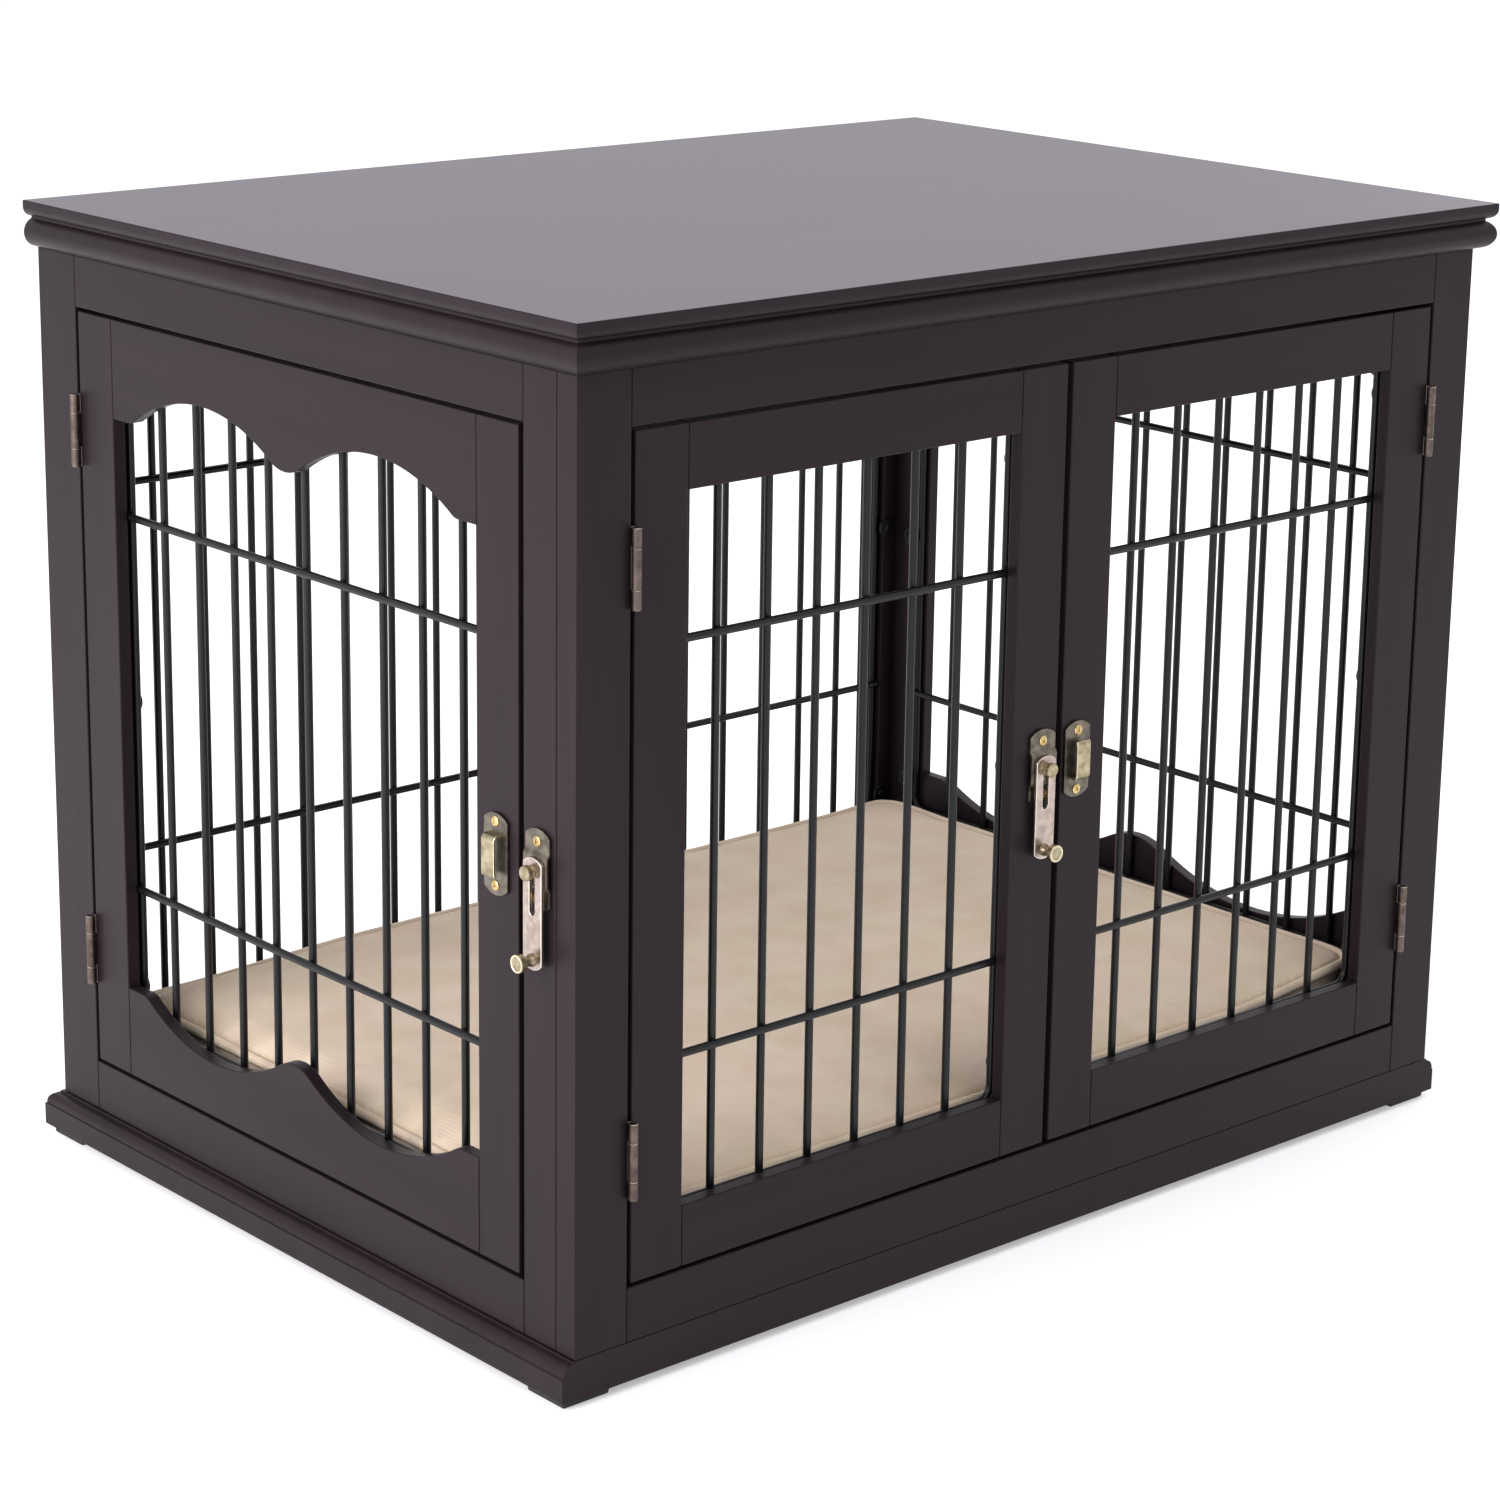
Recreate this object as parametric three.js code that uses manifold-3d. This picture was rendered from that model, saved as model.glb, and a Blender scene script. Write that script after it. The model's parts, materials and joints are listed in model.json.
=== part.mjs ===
// Dog crate end table: a wooden cabinet with a moulded top, a pair of front doors, an end door,
// wire grids in every panel, slotted bar latches and a loose cushion.
// Millimetres, +Z up. X runs along the long side, the front doors face -Y and the end door faces -X.
// The origin is on the floor, under the middle of the top board.
import * as THREE from "three";
import { mergeVertices } from "three/addons/utils/BufferGeometryUtils.js";
import Module from "manifold-3d";

const wasm = await Module();
wasm.setup();

// Cabinet
const HEIGHT = 650;
const BODY_WIDTH = 780;
const TOP_DEPTH = 576;
const TOP_THICK = 31;
const END_OVERHANG = 10;
const FRONT_OVERHANG = 12;
const BOARD = 18;
const BASE_THICK = 25;
const BASE_END_OVERHANG = 9.5;
const BASE_BACK_OVERHANG = 11;
const FOOT_HEIGHT = 6;
const FOOT_SIZE = 36;
const FOOT_INSET = 4;
const SEAM = 0.3;

// Mouldings: the top's nose, quirk and bead, and the base's step and ovolo
const TOP_NOSE = 6;
const TOP_QUIRK_DROP = 11.4;
const TOP_BEAD = 9.8;
const TOP_BEAD_TURN = 66;
const EDGE_BREAK = 0.8;
const BASE_STEP = 1;
const BASE_OVOLO = 7;
const BASE_FILLET = 1.5;

// Frames
const STILE = 39;
const FRAME_TOP_RAIL = 34;
const FRAME_BOTTOM_RAIL = 35;
const END_FRONT_STILE = 30.5;
const END_BACK_STILE = 44;
const FIXED_FRONT_STILE = 34;
const FIXED_BACK_STILE = 46;
const BACK_STILE = 23;
const BACK_TOP_RAIL = 48;
const BACK_BOTTOM_RAIL = 54;

// Doors
const DOOR_RAIL = 39;
const DOOR_GAP = 2.5;
const HINGE_GAP = 3;
const END_LATCH_GAP = 4.5;

// Scalloped rails: height of the flat ears from the rail's straight edge, rise of the two arches,
// and their middle and half span as shares of the opening's half width
const EAR_TOP = 65;
const EAR_BOTTOM = 61.5;
const FIXED_EAR_TOP = 99;
const FIXED_EAR_BOTTOM = 95;
const ARCH_RISE = 24;
const ARCH_MIDDLE = 0.477;
const ARCH_SPAN = 0.4145;
const FIXED_ARCH_MIDDLE = 0.503;
const FIXED_ARCH_SPAN = 0.405;
const EAR_BLEND = 12;
const CUSP_BLEND = 30;
const FIXED_CUSP_BLEND = 50;

// Wire grids, set in a rabbet behind a lip
const LIP = 9;
const RABBET = 9;
const WIRE = 5.2;
const WIRE_LAP = 5;
const WIRE_CORNER = 10;
const FRONT_PITCH = 39.35;
const END_PITCH = 39.85;
const OUTER_WIRE_DEPTH = 11.9;
const INNER_WIRE_DEPTH = 15.7;
const CROSS_WIRE_SHARE = 0.208;
const BACK_CROSS_WIRE_SHARE = 0.235;
const WASHER = 13.5;
const WASHER_THICK = 1.5;
const WASHER_SHARE = 0.455;
const WASHER_INSET = 11;

// Hinges
const HINGE_INSET = 78.5;
const HINGE_LENGTH = 48;
const KNUCKLE = 24;
const BARREL = 6;
const HINGE_PIN = 2.6;
const HINGE_BORE = 3.6;
const LEAF_WIDTH = 14;
const LEAF_THICK = 1;

// Latches
const PLATE_WIDTH = 22;
const PLATE_HEIGHT = 50;
const PLATE_THICK = 1.5;
const PLATE_ARCH = 3;
const PLATFORM = 3.5;
const PLATFORM_HALF = 9;
const SCREW_SPREAD = 17.5;
const SCREW_HEAD = 7;
const BAR_LENGTH = 68;
const BAR_WIDTH = 17;
const BAR_THICK = 2;
const BAR_BACK = 3.8;
const SLOT_WIDTH = 5;
const SLOT_TRAVEL = 24;
const PIN_MARGIN = 8.5;
const PIN_STEM = 4.4;
const PIN_HEAD = 9;
const KNOB_REACH = 53.5;
const KNOB = 11.5;
const KNOB_HEIGHT = 12;
const STRAP_WIDTH = 12;
const STRAP_BACK = 6.4;
const STRAP_HALF = 13;
const FRONT_PIN_INSET = 13.5;
const FRONT_KEEPER_INSET = 13;

// Cushion
const CUSHION_MARGIN = 6;
const CUSHION_EDGE = 70;
const CUSHION_CROWN = 76;
const CUSHION_CORNER = 26;
const CUSHION_WAIST = 4;

// Levels that follow from the sizes above
const TOP_WIDTH = BODY_WIDTH + 2 * END_OVERHANG;
const BASE_WIDTH = BODY_WIDTH + 2 * BASE_END_OVERHANG;
const FRONT_Y = FRONT_OVERHANG - TOP_DEPTH / 2;
const BACK_Y = TOP_DEPTH / 2;
const BASE_Z = FOOT_HEIGHT + BASE_THICK;
const FRAME_Z0 = BASE_Z + SEAM;
const FRAME_Z1 = HEIGHT - TOP_THICK - SEAM;
const DOOR_Z0 = BASE_Z + FRAME_BOTTOM_RAIL + DOOR_GAP;
const DOOR_Z1 = HEIGHT - TOP_THICK - FRAME_TOP_RAIL - DOOR_GAP;
const INNER_X = BODY_WIDTH / 2 - BOARD;
const INNER_FRONT = FRONT_Y + BOARD;
const INNER_BACK = BACK_Y - BOARD;
const LATCH_Z = (DOOR_Z0 + DOOR_Z1) / 2;
const HINGE_UPPER_Z = DOOR_Z1 - HINGE_INSET;
const HINGE_LOWER_Z = DOOR_Z0 + HINGE_INSET;

const paint = new THREE.MeshStandardMaterial({ color: 0x4a4446, roughness: 0.5, metalness: 0 });
const paintTop = new THREE.MeshStandardMaterial({ color: 0x575055, roughness: 0.42, metalness: 0 });
const blackWire = new THREE.MeshStandardMaterial({ color: 0x17181b, roughness: 0.4, metalness: 0.6 });
const brass = new THREE.MeshStandardMaterial({ color: 0xa39a82, roughness: 0.38, metalness: 0.9 });
const rubber = new THREE.MeshStandardMaterial({ color: 0x1c1b1b, roughness: 0.85, metalness: 0 });
const fabric = new THREE.MeshStandardMaterial({ color: 0xb9ab93, roughness: 0.95, metalness: 0 });

const table = new THREE.Group();

function place(parent, name, geometry, material) {
  const mesh = new THREE.Mesh(geometry, material);
  mesh.name = name;
  parent.add(mesh);
  return mesh;
}

function solid(geometry) {
  const bare = new THREE.BufferGeometry();
  bare.setAttribute("position", geometry.getAttribute("position"));
  bare.setIndex(geometry.index);
  const merged = mergeVertices(bare, 1e-4);
  const vertProperties = new Float32Array(merged.attributes.position.array);
  const triVerts = new Uint32Array(merged.index.array);
  return new wasm.Manifold(new wasm.Mesh({ numProp: 3, vertProperties, triVerts }));
}

function geometryOf(body) {
  const mesh = body.getMesh();
  const geometry = new THREE.BufferGeometry();
  geometry.setAttribute("position", new THREE.BufferAttribute(mesh.vertProperties, 3));
  geometry.setIndex(new THREE.BufferAttribute(mesh.triVerts, 1));
  geometry.computeVertexNormals();
  return geometry;
}

function join(...pieces) {
  return geometryOf(pieces.map(solid).reduce((whole, piece) => whole.add(piece)));
}

function cut(body, ...tools) {
  return geometryOf(tools.map(solid).reduce((rest, tool) => rest.subtract(tool), solid(body)));
}

function common(a, b) {
  return geometryOf(solid(a).intersect(solid(b)));
}

function block(x0, x1, y0, y1, z0, z1) {
  const geometry = new THREE.BoxGeometry(x1 - x0, y1 - y0, z1 - z0);
  return geometry.translate((x0 + x1) / 2, (y0 + y1) / 2, (z0 + z1) / 2);
}

// Outline drawn in X and Z, thick from y0 to y1.
function slab(outline, y0, y1) {
  const geometry = new THREE.ExtrudeGeometry(outline, {
    depth: y1 - y0,
    bevelEnabled: false,
    curveSegments: 5,
  });
  return geometry.rotateX(Math.PI / 2).translate(0, y1, 0);
}

// Profile drawn in Y and Z, running along X from x0 to x1.
function rail(profile, x0, x1) {
  const geometry = new THREE.ExtrudeGeometry(profile, { depth: x1 - x0, bevelEnabled: false });
  const turn = new THREE.Matrix4().makeBasis(
    new THREE.Vector3(0, 1, 0),
    new THREE.Vector3(0, 0, 1),
    new THREE.Vector3(1, 0, 0),
  );
  return geometry.applyMatrix4(turn).translate(x0, 0, 0);
}

function polygon(points) {
  return new THREE.Shape(points.map(([a, b]) => new THREE.Vector2(a, b)));
}

// Upright rod on the Z axis from z0 to z1.
function upright(radius, x, y, z0, z1, sides) {
  const rod = new THREE.CylinderGeometry(radius, radius, z1 - z0, sides);
  return rod.rotateX(Math.PI / 2).translate(x, y, (z0 + z1) / 2);
}

// Turned piece about an axis along Y; the profile holds [radius, distance out of the face].
function turned(profile, sides) {
  const points = profile.map(([radius, out]) => new THREE.Vector2(radius, out));
  return new THREE.LatheGeometry(points, sides).rotateX(Math.PI);
}

// Stack of four-cornered outlines, each [x half width, y front, y back, z], closed at both ends.
function stack(levels) {
  const points = levels.flatMap(([half, y0, y1, z]) => [
    [-half, y0, z],
    [half, y0, z],
    [half, y1, z],
    [-half, y1, z],
  ]);
  return skin(points.flat(), levels.length, 4);
}

// Closed skin over rings of points that run counterclockwise, from the lowest ring to the highest.
function skin(positions, rings, sides) {
  const index = [];
  for (let ring = 0; ring < rings - 1; ring += 1) {
    for (let side = 0; side < sides; side += 1) {
      const a = ring * sides + side;
      const b = ring * sides + ((side + 1) % sides);
      index.push(a, b, b + sides, a, b + sides, a + sides);
    }
  }
  const last = (rings - 1) * sides;
  for (let side = 1; side < sides - 1; side += 1) {
    index.push(0, side + 1, side);
    index.push(last, last + side, last + side + 1);
  }
  const geometry = new THREE.BufferGeometry();
  geometry.setAttribute("position", new THREE.Float32BufferAttribute(positions, 3));
  geometry.setIndex(index);
  geometry.computeVertexNormals();
  return geometry;
}

function arc(x, z, radius, from, to, steps) {
  return Array.from({ length: steps + 1 }, (_, step) => {
    const angle = from + ((to - from) * step) / steps;
    return [x + radius * Math.cos(angle), z + radius * Math.sin(angle)];
  });
}

// Top board: moulded on the front and both ends, plain at the back.
// The edge is a nose rounded underneath, a narrow quirk and a half-round bead below it.
function topBoard() {
  const turn = Math.PI + TOP_BEAD_TURN * (Math.PI / 180);
  const beadZ = HEIGHT - TOP_THICK + TOP_BEAD;
  const edge = arc(END_OVERHANG, beadZ, TOP_BEAD, -Math.PI / 2, -turn, 9);
  edge.push([TOP_NOSE + EDGE_BREAK / 4, HEIGHT - TOP_QUIRK_DROP]);
  edge.push(...arc(TOP_NOSE, HEIGHT - TOP_NOSE * 0.75, TOP_NOSE, Math.PI * 1.5, Math.PI, 4));
  edge.push([0, HEIGHT - EDGE_BREAK]);
  edge.push([EDGE_BREAK, HEIGHT]);
  return stack(
    edge.map(([inset, z]) => [TOP_WIDTH / 2 - inset, inset - TOP_DEPTH / 2, BACK_Y, z]),
  );
}

// Base board: flush at the front, moulded on both ends and the back with a step and an ovolo.
function baseBoard() {
  const spring = BASE_Z - BASE_OVOLO - BASE_FILLET;
  const top = BASE_STEP + BASE_OVOLO;
  const edge = [
    [0, FOOT_HEIGHT],
    [0, spring - BASE_STEP],
    [BASE_STEP, spring - BASE_STEP / 2],
    ...arc(top, spring, BASE_OVOLO, Math.PI, Math.PI / 2, 5),
    [top, BASE_Z],
  ];
  const back = BACK_Y + BASE_BACK_OVERHANG;
  return stack(edge.map(([inset, z]) => [BASE_WIDTH / 2 - inset, FRONT_Y, back - inset, z]));
}

function foot() {
  const half = FOOT_SIZE / 2;
  const top = FOOT_HEIGHT - SEAM;
  return stack([
    [half - 0.8, -half + 0.8, half - 0.8, 0],
    [half, -half, half, top],
  ]);
}

// Free edge of a scalloped rail, as [x, height] from -half to +half, heights above the flat ears.
// Two arches meet in a rounded point, and the ears blend into them.
function scallop(half, shape) {
  const { middle, span, cusp } = shape;
  const centre = half * middle;
  const radius = ((half * span) ** 2 + ARCH_RISE ** 2) / (2 * ARCH_RISE);
  const arch = ARCH_RISE - radius;
  const earX = centre + Math.sqrt((radius + EAR_BLEND) ** 2 - (EAR_BLEND - arch) ** 2);
  const cuspZ = arch + Math.sqrt((radius + cusp) ** 2 - centre ** 2);
  const earAngle = Math.atan2(EAR_BLEND - arch, centre - earX);
  const cuspAngle = Math.atan2(cuspZ - arch, centre);
  const left = [
    [-half, 0],
    ...arc(-earX, EAR_BLEND, EAR_BLEND, -Math.PI / 2, earAngle - Math.PI, 2),
    ...arc(-centre, arch, radius, earAngle, cuspAngle, 9).slice(1),
    ...arc(0, cuspZ, cusp, cuspAngle - Math.PI, -Math.PI / 2, 2).slice(1),
  ];
  const right = left.slice(0, -1).map(([x, z]) => [-x, z]);
  return [...left, ...right.reverse()];
}

// Board across the top or bottom of a panel. Its free edge is straight, or scalloped.
// The rabbet behind its lip is straight and reaches past the deepest part of the edge.
function crossRail(x0, x1, z0, z1, up, ear, shape) {
  const centre = (x0 + x1) / 2;
  const half = (x1 - x0) / 2;
  const edge = shape ? scallop(half, shape) : [[-half, 0], [half, 0]];
  const from = up ? z1 - ear : z0 + ear;
  const sign = up ? 1 : -1;
  const outline = edge.map(([x, z]) => [centre + x, from + sign * z]);
  const far = up ? z1 : z0;
  outline.push([x1, far], [x0, far]);
  const deepest = from + sign * ((shape ? ARCH_RISE : 0) + RABBET);
  const clear = from - sign * EAR_BLEND;
  const low = Math.min(clear, deepest);
  const high = Math.max(clear, deepest);
  const rabbet = block(x0 - 1, x1 + 1, LIP, BOARD + 1, low, high);
  const ordered = up ? outline : outline.reverse();
  return cut(slab(polygon(ordered), 0, BOARD), rabbet);
}

// Upright board beside an opening, rabbeted behind its lip along the opening.
function openStile(x0, x1, z0, z1, opening) {
  const edge = x0 < opening.x0 ? x1 : x0;
  const low = opening.z0 - RABBET;
  const high = opening.z1 + RABBET;
  const rabbet = block(edge - RABBET, edge + RABBET, LIP, BOARD + 1, low, high);
  return cut(block(x0, x1, 0, BOARD, z0, z1), rabbet);
}

// Round wire bent into a closed rectangle with rounded corners, in a plane of constant Y.
function wireRectangle(x0, x1, z0, z1, y) {
  const path = [
    ...arc(x1 - WIRE_CORNER, z1 - WIRE_CORNER, 1, 0, Math.PI / 2, 3),
    ...arc(x0 + WIRE_CORNER, z1 - WIRE_CORNER, 1, Math.PI / 2, Math.PI, 3),
    ...arc(x0 + WIRE_CORNER, z0 + WIRE_CORNER, 1, Math.PI, Math.PI * 1.5, 3),
    ...arc(x1 - WIRE_CORNER, z0 + WIRE_CORNER, 1, Math.PI * 1.5, Math.PI * 2, 3),
  ];
  const centres = [
    [x1 - WIRE_CORNER, z1 - WIRE_CORNER],
    [x0 + WIRE_CORNER, z1 - WIRE_CORNER],
    [x0 + WIRE_CORNER, z0 + WIRE_CORNER],
    [x1 - WIRE_CORNER, z0 + WIRE_CORNER],
  ];
  const sides = 6;
  const positions = path.flatMap(([px, pz], at) => {
    const [cx, cz] = centres[Math.floor(at / 4)];
    return Array.from({ length: sides }, (_, side) => {
      const angle = (Math.PI * 2 * side) / sides;
      const reach = WIRE_CORNER + (WIRE / 2) * Math.cos(angle);
      const depth = y + (WIRE / 2) * Math.sin(angle);
      return [cx + (px - cx) * reach, depth, cz + (pz - cz) * reach];
    }).flat();
  });
  const index = [];
  for (let at = 0; at < path.length; at += 1) {
    for (let side = 0; side < sides; side += 1) {
      const next = (at + 1) % path.length;
      const a = at * sides + side;
      const b = at * sides + ((side + 1) % sides);
      const c = next * sides + ((side + 1) % sides);
      const d = next * sides + side;
      index.push(a, b, c, a, c, d);
    }
  }
  const geometry = new THREE.BufferGeometry();
  geometry.setAttribute("position", new THREE.Float32BufferAttribute(positions, 3));
  geometry.setIndex(index);
  return geometry;
}

// Screw and washer that clamps the outer wire, at depth y, to the back of a board, at x, z;
// dx and dz point from the washer's middle towards the wire.
function washer(x, z, dx, dz, y) {
  const back = BOARD + SEAM;
  const disc = new THREE.CylinderGeometry(WASHER / 2, WASHER / 2, WASHER_THICK, 8);
  disc.translate(x, back + WASHER_THICK / 2, z);
  const reach = WASHER_INSET - WIRE_LAP;
  const cx = x + dx * reach;
  const cz = z + dz * reach;
  const boss = block(cx - 1.4, cx + 1.4, y, back + WASHER_THICK / 2, cz - 1.4, cz + 1.4);
  return join(disc, boss);
}

// Welded grid that fills an opening: a closed outer wire, uprights on its plane and two cross
// wires. Those lie outside the uprights, or inside them where the grid is turned round.
function grid(opening, mesh) {
  const x0 = opening.x0 - WIRE_LAP;
  const x1 = opening.x1 + WIRE_LAP;
  const z0 = opening.z0 - WIRE_LAP;
  const z1 = opening.z1 + WIRE_LAP;
  const centre = (x0 + x1) / 2;
  const middle = (z0 + z1) / 2;
  const tall = opening.z1 - opening.z0;
  const radius = WIRE / 2;
  const plane = mesh.turned ? OUTER_WIRE_DEPTH : INNER_WIRE_DEPTH;
  const crossPlane = mesh.turned ? INNER_WIRE_DEPTH : OUTER_WIRE_DEPTH;
  const uprights = Math.floor((opening.x1 - opening.x0) / mesh.pitch);
  const pieces = [wireRectangle(x0, x1, z0, z1, plane)];
  for (let at = 0; at < uprights; at += 1) {
    const x = centre + (at - (uprights - 1) / 2) * mesh.pitch;
    pieces.push(upright(radius, x, plane, z0, z1, 6));
  }
  for (const z of [opening.z0 + mesh.cross * tall, opening.z1 - mesh.cross * tall]) {
    const wire = new THREE.CylinderGeometry(radius, radius, x1 - x0 + WIRE, 6);
    pieces.push(wire.rotateZ(Math.PI / 2).translate(centre, crossPlane, z));
  }
  for (const share of [-WASHER_SHARE, 0, WASHER_SHARE]) {
    const z = middle + share * tall;
    pieces.push(washer(opening.x0 - WASHER_INSET, z, 1, 0, plane));
    pieces.push(washer(opening.x1 + WASHER_INSET, z, -1, 0, plane));
  }
  pieces.push(washer(centre, opening.z0 - WASHER_INSET, 0, 1, plane));
  return join(...pieces);
}

// Frame of two stiles and two rails round a wire grid.
// The stiles run full height, and the rails' free edges are straight or scalloped.
function panel(parent, name, outer, options) {
  const { left, right, top, bottom, shape, mesh, leftName, rightName } = options;
  const deep = shape ? ARCH_RISE : 0;
  const opening = {
    x0: outer.x0 + left,
    x1: outer.x1 - right,
    z0: outer.z0 + bottom - deep,
    z1: outer.z1 - top + deep,
  };
  const rx0 = opening.x0 + SEAM;
  const rx1 = opening.x1 - SEAM;
  const { x0, x1, z0, z1 } = outer;
  place(parent, name + "_" + leftName, openStile(x0, opening.x0, z0, z1, opening), paint);
  place(parent, name + "_" + rightName, openStile(opening.x1, x1, z0, z1, opening), paint);
  const topRail = crossRail(rx0, rx1, z1 - top, z1, true, top, shape);
  const bottomRail = crossRail(rx0, rx1, z0, z0 + bottom, false, bottom, shape);
  place(parent, name + "_top_rail", topRail, paint);
  place(parent, name + "_bottom_rail", bottomRail, paint);
  place(parent, name + "_grid", grid(opening, mesh), blackWire);
}

// Butt hinge in the gap beside a door, its barrel proud of the face. side is +1 where the door
// lies on the hinge's +X side. The frame leaf carries the pin and the two outer knuckles.
function hinge(parent, name, x, z, side) {
  const axis = -BARREL / 2 - SEAM;
  const half = HINGE_LENGTH / 2;
  const inner = x + side * 0.2;
  const outer = x + side * (0.2 + LEAF_THICK);
  const [d0, d1] = side > 0 ? [inner, outer] : [outer, inner];
  const [f0, f1] = [2 * x - d1, 2 * x - d0];
  const knuckleTop = z + KNUCKLE / 2;
  const knuckleLow = z - KNUCKLE / 2;
  const barrel = BARREL / 2;
  const bore = upright(HINGE_BORE / 2, x, axis, knuckleLow - 1, knuckleTop + 1, 10);
  const tube = upright(barrel, x, axis, knuckleLow + SEAM / 2, knuckleTop - SEAM / 2, 12);
  const doorNeck = block(d0, d1, axis, LEAF_WIDTH, knuckleLow + 0.5, knuckleTop - 0.5);
  const doorPlate = block(d0, d1, 0, LEAF_WIDTH, z - half, z + half);
  const doorLeaf = cut(join(tube, doorNeck, doorPlate), bore);
  place(parent, name + "_door_leaf", doorLeaf, brass);
  const frameLeaf = join(
    upright(barrel, x, axis, z - half, knuckleLow - SEAM / 2, 12),
    upright(barrel, x, axis, knuckleTop + SEAM / 2, z + half, 12),
    upright(HINGE_PIN / 2, x, axis, z - half + 1, z + half - 1, 10),
    block(f0, f1, axis, LEAF_WIDTH, z - half, knuckleLow - 0.5),
    block(f0, f1, axis, LEAF_WIDTH, knuckleTop + 0.5, z + half),
    block(f0, f1, 0, LEAF_WIDTH, z - half, z + half),
  );
  place(parent, name + "_frame_leaf", frameLeaf, brass);
}

function archedOutline(width, z0, z1, arch) {
  const half = width / 2;
  const outline = new THREE.Shape();
  outline.moveTo(-half, z0 + arch);
  outline.quadraticCurveTo(-half * 0.7, z0, 0, z0);
  outline.quadraticCurveTo(half * 0.7, z0, half, z0 + arch);
  outline.lineTo(half, z1 - arch);
  outline.quadraticCurveTo(half * 0.7, z1, 0, z1);
  outline.quadraticCurveTo(-half * 0.7, z1, -half, z1 - arch);
  outline.closePath();
  return outline;
}

function screwHead(z, out) {
  const radius = SCREW_HEAD / 2;
  const profile = [
    [0, out - 0.4],
    [radius, out - 0.4],
    [radius, out + 0.6],
    [radius - 1, out + 1.3],
    [0, out + 1.4],
  ];
  return turned(profile, 10).translate(0, 0, z);
}

// Latch back plate: a strip with a raised middle, which the pin turns in.
function latchPlate() {
  const back = -SEAM;
  const face = back - PLATE_THICK;
  const top = -PLATFORM;
  const under = top + PLATE_THICK;
  const end = PLATE_HEIGHT / 2;
  const step = PLATFORM_HALF;
  const profile = polygon([
    [back, -end],
    [back, -step - 2],
    [under, -step + 1],
    [under, step - 1],
    [back, step + 2],
    [back, end],
    [face, end],
    [face, step + 2.5],
    [top, step],
    [top, -step],
    [face, -step - 2.5],
    [face, -end],
  ]);
  const strip = rail(profile, -PLATE_WIDTH / 2, PLATE_WIDTH / 2);
  const outline = archedOutline(PLATE_WIDTH, -end, end, PLATE_ARCH);
  const plate = common(strip, slab(outline, -PLATFORM - 1, 0));
  const hole = turned([[0, 1], [2.7, 1], [2.7, PLATFORM + 1], [0, PLATFORM + 1]], 12);
  const drilled = cut(plate, hole);
  const out = SEAM + PLATE_THICK;
  return join(drilled, screwHead(SCREW_SPREAD, out), screwHead(-SCREW_SPREAD, out));
}

// Rivet that the bar turns and slides on, with a foot under the plate's raised middle.
function latchPin() {
  const stem = PIN_STEM / 2;
  const collar = BAR_BACK + BAR_THICK + SEAM;
  const head = PIN_HEAD / 2;
  const profile = [
    [0, 0.6],
    [3.4, 0.6],
    [3.4, 1.7],
    [stem, 1.7],
    [stem, collar],
    [head - 0.5, collar],
    [head - 0.5, collar + 1],
    [head, collar + 1.2],
    [head, collar + 3.4],
    [head * 0.7, collar + 5.2],
    [0, collar + 5.9],
  ];
  return turned(profile, 12);
}

// Slotted bar, hanging from the pin at the slot's upper end, with a knob near its lower end.
function latchBar() {
  const front = BAR_BACK + BAR_THICK;
  const outline = archedOutline(BAR_WIDTH, PIN_MARGIN - BAR_LENGTH, PIN_MARGIN, 2.6);
  const slot = new THREE.Path();
  const half = SLOT_WIDTH / 2;
  slot.absarc(0, 0, half, 0, Math.PI, false);
  slot.absarc(0, -SLOT_TRAVEL, half, Math.PI, Math.PI * 2, false);
  outline.holes.push(slot);
  const knob = turned(
    [
      [0, front - 0.5],
      [3.5, front - 0.5],
      [3.5, front + KNOB_HEIGHT - 5],
      [KNOB / 2, front + KNOB_HEIGHT - 4.6],
      [KNOB / 2, front + KNOB_HEIGHT - 0.8],
      [KNOB / 2 - 1, front + KNOB_HEIGHT],
      [0, front + KNOB_HEIGHT],
    ],
    14,
  );
  return join(slab(outline, -front, -BAR_BACK), knob.translate(0, 0, -KNOB_REACH));
}

// Keeper: a plate with a strap bent out of it into a hook, closed below and open above.
function latchKeeper() {
  const out = SEAM + PLATE_THICK;
  const strapFace = STRAP_BACK + PLATE_THICK;
  const low = -STRAP_HALF;
  const end = PLATE_HEIGHT / 2;
  const outline = archedOutline(PLATE_WIDTH, -end, end, PLATE_ARCH);
  const plate = slab(outline, -out, -SEAM);
  const profile = polygon([
    [-SEAM - 0.2, low - 1.5],
    [-SEAM - 0.2, low + 1.2],
    [-out, low + 1.2],
    [-STRAP_BACK, low + 2.4],
    [-STRAP_BACK, STRAP_HALF],
    [-strapFace, STRAP_HALF],
    [-strapFace, low + 1.6],
    [-STRAP_BACK - 0.6, low + 0.6],
    [-out, low - 0.6],
    [-out, low - 1.5],
  ]);
  const strap = rail(profile, -STRAP_WIDTH / 2, STRAP_WIDTH / 2);
  const screws = [screwHead(SCREW_SPREAD + 1.5, out), screwHead(-SCREW_SPREAD - 2.5, out)];
  return join(plate, strap, ...screws);
}

function latch(parent, name, pinX, keeperX, keeperTurn) {
  const pinSpot = new THREE.Group();
  pinSpot.position.set(pinX, 0, LATCH_Z);
  parent.add(pinSpot);
  place(pinSpot, name + "_plate", latchPlate(), brass);
  place(pinSpot, name + "_pin", latchPin(), brass);
  place(pinSpot, name + "_bar", latchBar(), brass);
  const keeper = place(parent, name + "_keeper", latchKeeper(), brass);
  keeper.position.set(keeperX, 0, LATCH_Z);
  keeper.rotation.y = keeperTurn;
}

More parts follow.
